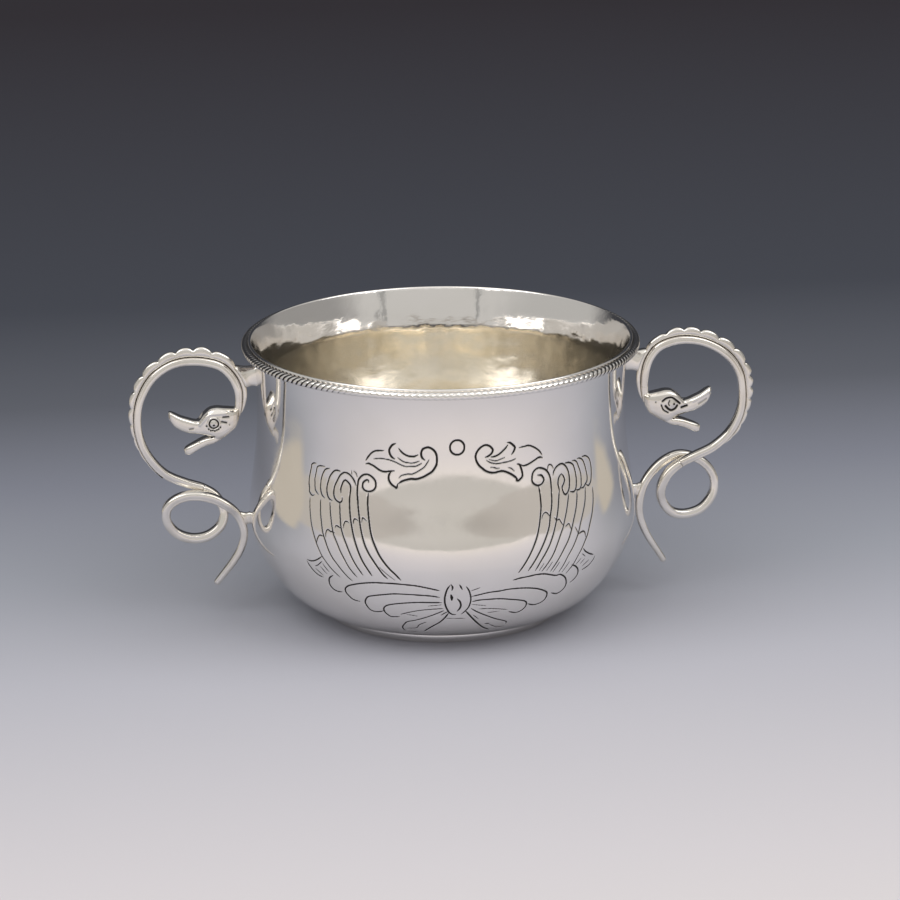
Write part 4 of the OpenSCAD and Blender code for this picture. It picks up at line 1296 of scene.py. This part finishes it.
# Points of the bars: percentages of the reach outward and of the height up from the tail, the
# share of the side step between crossing strands, and the share of the bar's width
LEFT_POINTS = [
    (9.3, 74.7, 0, 0.9), (7.5, 80.2, 0, 0.9), (8.2, 86.3, 0, 1), (14.3, 92.4, 0, 1),
    (25.7, 97.1, 0, 1.05), (46.1, 99.2, 0, 1.05), (65.7, 98, 0, 1), (82.9, 92.7, 0, 1),
    (93.9, 84.2, 0, 0.95), (97.9, 75.3, 0, 0.95), (96.1, 65.9, 0, 1), (88.2, 57.1, 0, 1.05),
    (74.6, 49.3, -0.5, 1.1), (57.1, 44.7, -1, 1.1), (41.1, 41.9, -1, 1.1), (29.6, 37.8, -1, 1.1),
    (23.2, 31.7, -0.8, 1.1), (26.4, 25.4, -0.45, 1.1), (37.9, 21.2, -0.2, 1.1), (51.8, 20.5, 0.1, 1.1),
    (65.7, 23.2, 0.4, 1.1), (74.6, 29, 0.7, 1.1), (74.6, 34.9, 0.9, 1.1), (65.7, 39, 1, 1.1),
    (51.8, 40.5, 1, 1.1), (35.7, 39.2, 1, 1.1), (21.1, 35.1, 0.6, 1.05), (10.7, 29.7, 0, 1),
    (5.7, 22.7, 0, 0.95), (8.2, 15.9, 0, 0.9), (16.1, 9.2, 0, 0.85), (31.1, 0.2, 0, 0.7),
]
RIGHT_POINTS = [
    (11.8, 73.2, 0, 0.9), (10.4, 79.3, 0, 0.9), (11.4, 86.3, 0, 1), (15.7, 92.5, 0, 1),
    (25.4, 97.5, 0, 1.05), (44.3, 99.8, 0, 1.05), (65.4, 98.1, 0, 1), (84.6, 92.7, 0, 1),
    (96.4, 84.9, 0, 0.95), (100, 75.8, 0, 0.95), (98.2, 66.3, 0, 1), (89.3, 57.8, 0, 1.05),
    (73.9, 51.7, -0.5, 1.1), (57.5, 48.5, -1, 1.1), (43.2, 45.3, -1, 1.1), (31.8, 40.8, -1, 1.1),
    (25.4, 34.1, -0.8, 1.1), (27.1, 28, -0.45, 1.1), (36.1, 22.7, -0.2, 1.1), (49.3, 21.2, 0.1, 1.05),
    (63.9, 23.2, 0.4, 1), (73.9, 28.6, 0.7, 1), (76.1, 35.1, 0.9, 1), (70.7, 41.2, 1, 1),
    (58.2, 45.9, 1, 1), (42.5, 47.5, 1, 1), (26.8, 44.2, 0.8, 1), (13.2, 37.8, 0.2, 0.95),
    (7.1, 30.3, 0, 0.95), (6.4, 22.5, 0, 0.9), (12.5, 13.7, 0, 0.85), (28.6, 1, 0, 0.7),
]
# Lobes of the crests: place along the bar, and height
LEFT_LOBES = [
    (4, 2.2), (4.7, 2.7), (5.4, 2.45), (6.05, 2.3), (6.85, 2.15), (7.55, 2), (8.2, 1.75),
    (9, 1.3), (9.6, 0.95), (10.2, 0.75), (10.8, 0.5), (11.4, 0.3),
]
RIGHT_LOBES = [
    (4, 1.5), (4.8, 2.2), (5.4, 2.25), (6.05, 2.3), (6.8, 2.3), (7.45, 2.3), (8.15, 2.25),
    (8.6, 2.15), (9.1, 1.95), (9.6, 1.5), (10.2, 1.05), (10.8, 0.85), (11.4, 0.5),
]


def make_handle(name, points, lobes, length, tilt, marks, lower_p, side):
    """All pieces of one handle, on the right for side 1 and on the left for side -1."""
    bar = Bar(points)

    def piece(part, kind, node):
        """One cast piece of this handle."""
        return make_piece(
            f"{name}_{kind}", *sided(part, side), f"{name}_{node}", "cast_silver", cast_metal)

    piece(loft(bar_rings(bar, NECK_JOINT, LOOP_JOINT)), "scroll", "scroll_bar")
    loop = bar_rings(bar, LOOP_JOINT, len(points) - 1, swell=LOOP_SWELL, tip=True)
    piece(loft(loop), "loop", "tail_loop")
    crest, shade = crest_part(bar, lobes)
    set_values(piece(crest, "crest", "crest_strip"), "dark", shade)
    head_piece(f"{name}_head", bar, length, tilt, marks, side)

    p = np.linspace(*UPPER_LUG_SPAN, LUG_LINE_POINTS)
    middle, left, half = bar.place(p)
    edge = middle + (half + crest_heights(lobes, p) - UPPER_SINK)[:, None] * left
    upper = lug_part(UPPER_LUG_Z, UPPER_LUG_H, UPPER_LUG_T, UPPER_WAIST, edge)
    piece(upper, "lug_upper", "upper_lug")

    p = np.linspace(lower_p - LOWER_LUG_SPAN, lower_p + LOWER_LUG_SPAN, LUG_LINE_POINTS)
    middle, left, half = bar.place(p)
    inner = (middle - (half - LOWER_SINK)[:, None] * left)[::-1]
    lower = lug_part(bar.at(lower_p, bar.z), LOWER_LUG_H, LOWER_LUG_T, LOWER_WAIST, inner)
    piece(lower, "lug_lower", "lower_lug")


make_handle(
    "left", LEFT_POINTS, LEFT_LOBES, LEFT_HEAD_L, LEFT_HEAD_TILT, LEFT_MARKS, LEFT_LUG_AT, -1)
make_handle(
    "right", RIGHT_POINTS, RIGHT_LOBES, RIGHT_HEAD_L, RIGHT_HEAD_TILT, RIGHT_MARKS, RIGHT_LUG_AT, 1)

# Floor: a pale sheet with painted shade that darkens it towards the back, on a grey table that shows
# beyond its front edge and its sides, with a warm pale card beside and behind the cup on each side.
# Lengths are in metres from here on.
FLOOR_HALF = 3.0
SHEET_SKEW = 0.115
SHEET_HALF = 0.28
SHEET_EDGE = 0.012
TABLE = srgb(192, 187, 182)
CARD = srgb(199, 192, 181)
CARD_FROM = 0.2
CARD_FADE = 0.025
CARD_FRONT = 0.0
CARD_BACK = 0.45
FLOOR_ROUGH = 0.9
FLOOR_SPECULAR = 0.1
# Colours of the table and the sheet, by depth from the cup's middle: painted shade darkens the sheet
# towards the back, and painted light lifts it near the cup
FLOOR_STOPS = [
    (-1.5, srgb(226, 223, 218)), (-0.6, srgb(207, 204, 200)), (-0.305, srgb(199, 196, 192)),
    (-0.285, srgb(238, 232, 229)), (-0.17, srgb(219, 215, 219)), (-0.05, srgb(192, 192, 201)),
    (0.03, srgb(163, 166, 176)), (0.11, srgb(132, 135, 147)),
    (0.19, srgb(97, 100, 109)), (0.3, srgb(71, 74, 83)), (0.8, srgb(53, 50, 56)),
]


def make_floor():
    """The floor, which is stage and not part of the cup."""
    corners = [(-FLOOR_HALF, -FLOOR_HALF, 0), (FLOOR_HALF, -FLOOR_HALF, 0),
               (FLOOR_HALF, FLOOR_HALF, 0), (-FLOOR_HALF, FLOOR_HALF, 0)]
    mesh = bpy.data.meshes.new("floor")
    mesh.from_pydata(corners, [], [(0, 1, 2, 3)])
    floor = bpy.data.objects.new("floor", mesh)
    bpy.context.scene.collection.objects.link(floor)
    material, nodes = new_material("floor_paper")
    shader = material.node_tree.nodes["Principled BSDF"]
    place = nodes.axes(nodes.place())
    depth = place["Y"]
    across = nodes.math("SUBTRACT", place["X"], nodes.math("MULTIPLY", depth, SHEET_SKEW))
    aside = nodes.math("ABSOLUTE", across)
    on_table = nodes.ramp(aside, SHEET_HALF, SHEET_HALF + SHEET_EDGE)
    along = nodes.math(
        "MULTIPLY", nodes.ramp(depth, CARD_FRONT, CARD_FRONT + CARD_FADE),
        nodes.ramp(depth, CARD_BACK, CARD_BACK - CARD_FADE))
    on_card = nodes.math("MULTIPLY", nodes.ramp(aside, CARD_FROM, CARD_FROM + CARD_FADE), along)
    first, last = FLOOR_STOPS[0][0], FLOOR_STOPS[-1][0]
    ramp = nodes.add("ShaderNodeValToRGB", {"Fac": nodes.ramp(depth, first, last, kind="LINEAR")})
    stops = ramp.color_ramp.elements
    for k, (y, colour) in enumerate(FLOOR_STOPS):
        position = (y - first) / (last - first)
        stop = stops[k] if k < 2 else stops.new(position)
        stop.position = position
        stop.color = colour
    paper = nodes.mix(on_table, ramp.outputs["Color"], TABLE)
    nodes.put(shader.inputs["Base Color"], nodes.mix(on_card, paper, CARD))
    shader.inputs["Roughness"].default_value = FLOOR_ROUGH
    shader.inputs["Specular IOR Level"].default_value = FLOOR_SPECULAR
    mesh.materials.append(material)


make_floor()

# Light: two soft boxes, and a tent that is brightest overhead and high in front, dimmer at its
# sides and dark low behind, with a narrow darker gap on each side of its front
ROOM = (0.57, 0.56, 0.545, 1)
ROOM_LEFT = (0.47, 0.465, 0.455, 1)
ROOM_RIGHT = (0.31, 0.305, 0.3, 1)
ROOM_TOP = (0.95, 0.935, 0.915, 1)
ROOM_TOP_BACK = (0.5, 0.495, 0.485, 1)
ROOM_OVERHEAD = (0.9, 0.885, 0.87, 1)
ROOM_GAP = (0.32, 0.32, 0.315, 1)
ROOM_BACK = (0.045, 0.047, 0.055, 1)
TOP_FROM = math.sin(math.radians(27))
TOP_TO = math.sin(math.radians(39))
TOP_FRONT = -0.2
TOP_BACK = 0.3
OVERHEAD_FROM = math.sin(math.radians(54))
OVERHEAD_TO = math.sin(math.radians(66))
BEHIND_FROM = 0.35
BEHIND_TO = 0.75
SIDE_FROM = 0.6
SIDE_TO = 0.9
GAP_ROUND = math.radians(31)
GAP_HALF = math.radians(2.5)
SOFT_BOXES = {"left": (-0.75, 3.6), "right": (0.75, 4.1)}
BOX_SIZE = 0.95
BOX_Y = -0.45
BOX_Z = 1.1
BOX_AIM_Z = 0.03


def make_light():
    """The tent as the world, and the soft boxes as lamps."""
    world = bpy.data.worlds.new("tent")
    bpy.context.scene.world = world
    world.use_nodes = True
    nodes = Nodes(world.node_tree)
    x, y, z = nodes.axes(nodes.add("ShaderNodeTexCoord").outputs["Generated"])
    turn = nodes.math("ABSOLUTE", nodes.math("ARCTAN2", x, nodes.math("MULTIPLY", y, -1.0)))
    off = nodes.math("ABSOLUTE", nodes.math("SUBTRACT", turn, GAP_ROUND))
    gap = nodes.ramp(off, GAP_HALF, GAP_HALF / 2)
    front = nodes.mix(gap, ROOM, ROOM_GAP)
    front = nodes.mix(nodes.ramp(x, -SIDE_FROM, -SIDE_TO), front, ROOM_LEFT)
    front = nodes.mix(nodes.ramp(x, SIDE_FROM, SIDE_TO), front, ROOM_RIGHT)
    behind = nodes.ramp(y, BEHIND_FROM, BEHIND_TO)
    low = nodes.mix(behind, front, ROOM_BACK)
    high = nodes.mix(nodes.ramp(y, TOP_FRONT, TOP_BACK), ROOM_TOP, ROOM_TOP_BACK)
    tent = nodes.mix(nodes.ramp(z, TOP_FROM, TOP_TO), low, high)
    tent = nodes.mix(nodes.ramp(z, OVERHEAD_FROM, OVERHEAD_TO), tent, ROOM_OVERHEAD)
    nodes.put(world.node_tree.nodes["Background"].inputs["Color"], tent)

    for name, (box_x, power) in SOFT_BOXES.items():
        data = bpy.data.lights.new(f"soft_box_{name}", "AREA")
        data.size = BOX_SIZE
        data.energy = power
        lamp = bpy.data.objects.new(f"soft_box_{name}", data)
        lamp.location = (box_x, BOX_Y, BOX_Z)
        aim = Vector((0, 0, BOX_AIM_Z)) - lamp.location
        lamp.rotation_euler = aim.to_track_quat("-Z", "Y").to_euler()
        bpy.context.scene.collection.objects.link(lamp)


make_light()

# Camera, as found from the photograph's rim, foot and handles
CAMERA_FAR = 1.0
CAMERA_HIGH = math.radians(17.298)
CAMERA_ROUND = math.radians(-6.574)
CAMERA_ROLL = math.radians(0.58)
CAMERA_LENS = 158.24
CAMERA_AIM_X = 0.002145
CAMERA_AIM_Z = 0.040708
CAMERA_SENSOR = 36
CLIP_NEAR = 0.01
CLIP_FAR = 20


def make_camera():
    """The camera at the photograph's viewing angle."""
    back = Vector((
        math.sin(CAMERA_ROUND) * math.cos(CAMERA_HIGH),
        -math.cos(CAMERA_ROUND) * math.cos(CAMERA_HIGH),
        math.sin(CAMERA_HIGH)))
    level = Vector((math.cos(CAMERA_ROUND), math.sin(CAMERA_ROUND), 0))
    above = back.cross(level)
    right = level * math.cos(CAMERA_ROLL) - above * math.sin(CAMERA_ROLL)
    up = level * math.sin(CAMERA_ROLL) + above * math.cos(CAMERA_ROLL)
    place = Vector((0, 0, CAMERA_AIM_Z)) + level * CAMERA_AIM_X + back * CAMERA_FAR
    data = bpy.data.cameras.new("camera")
    data.sensor_width = CAMERA_SENSOR
    data.lens = CAMERA_LENS
    data.clip_start = CLIP_NEAR
    data.clip_end = CLIP_FAR
    camera = bpy.data.objects.new("camera", data)
    columns = Matrix((right, up, back)).transposed()
    camera.matrix_world = Matrix.Translation(place) @ columns.to_4x4()
    bpy.context.scene.collection.objects.link(camera)
    bpy.context.scene.camera = camera


make_camera()
bpy.context.scene.view_settings.view_transform = "Standard"
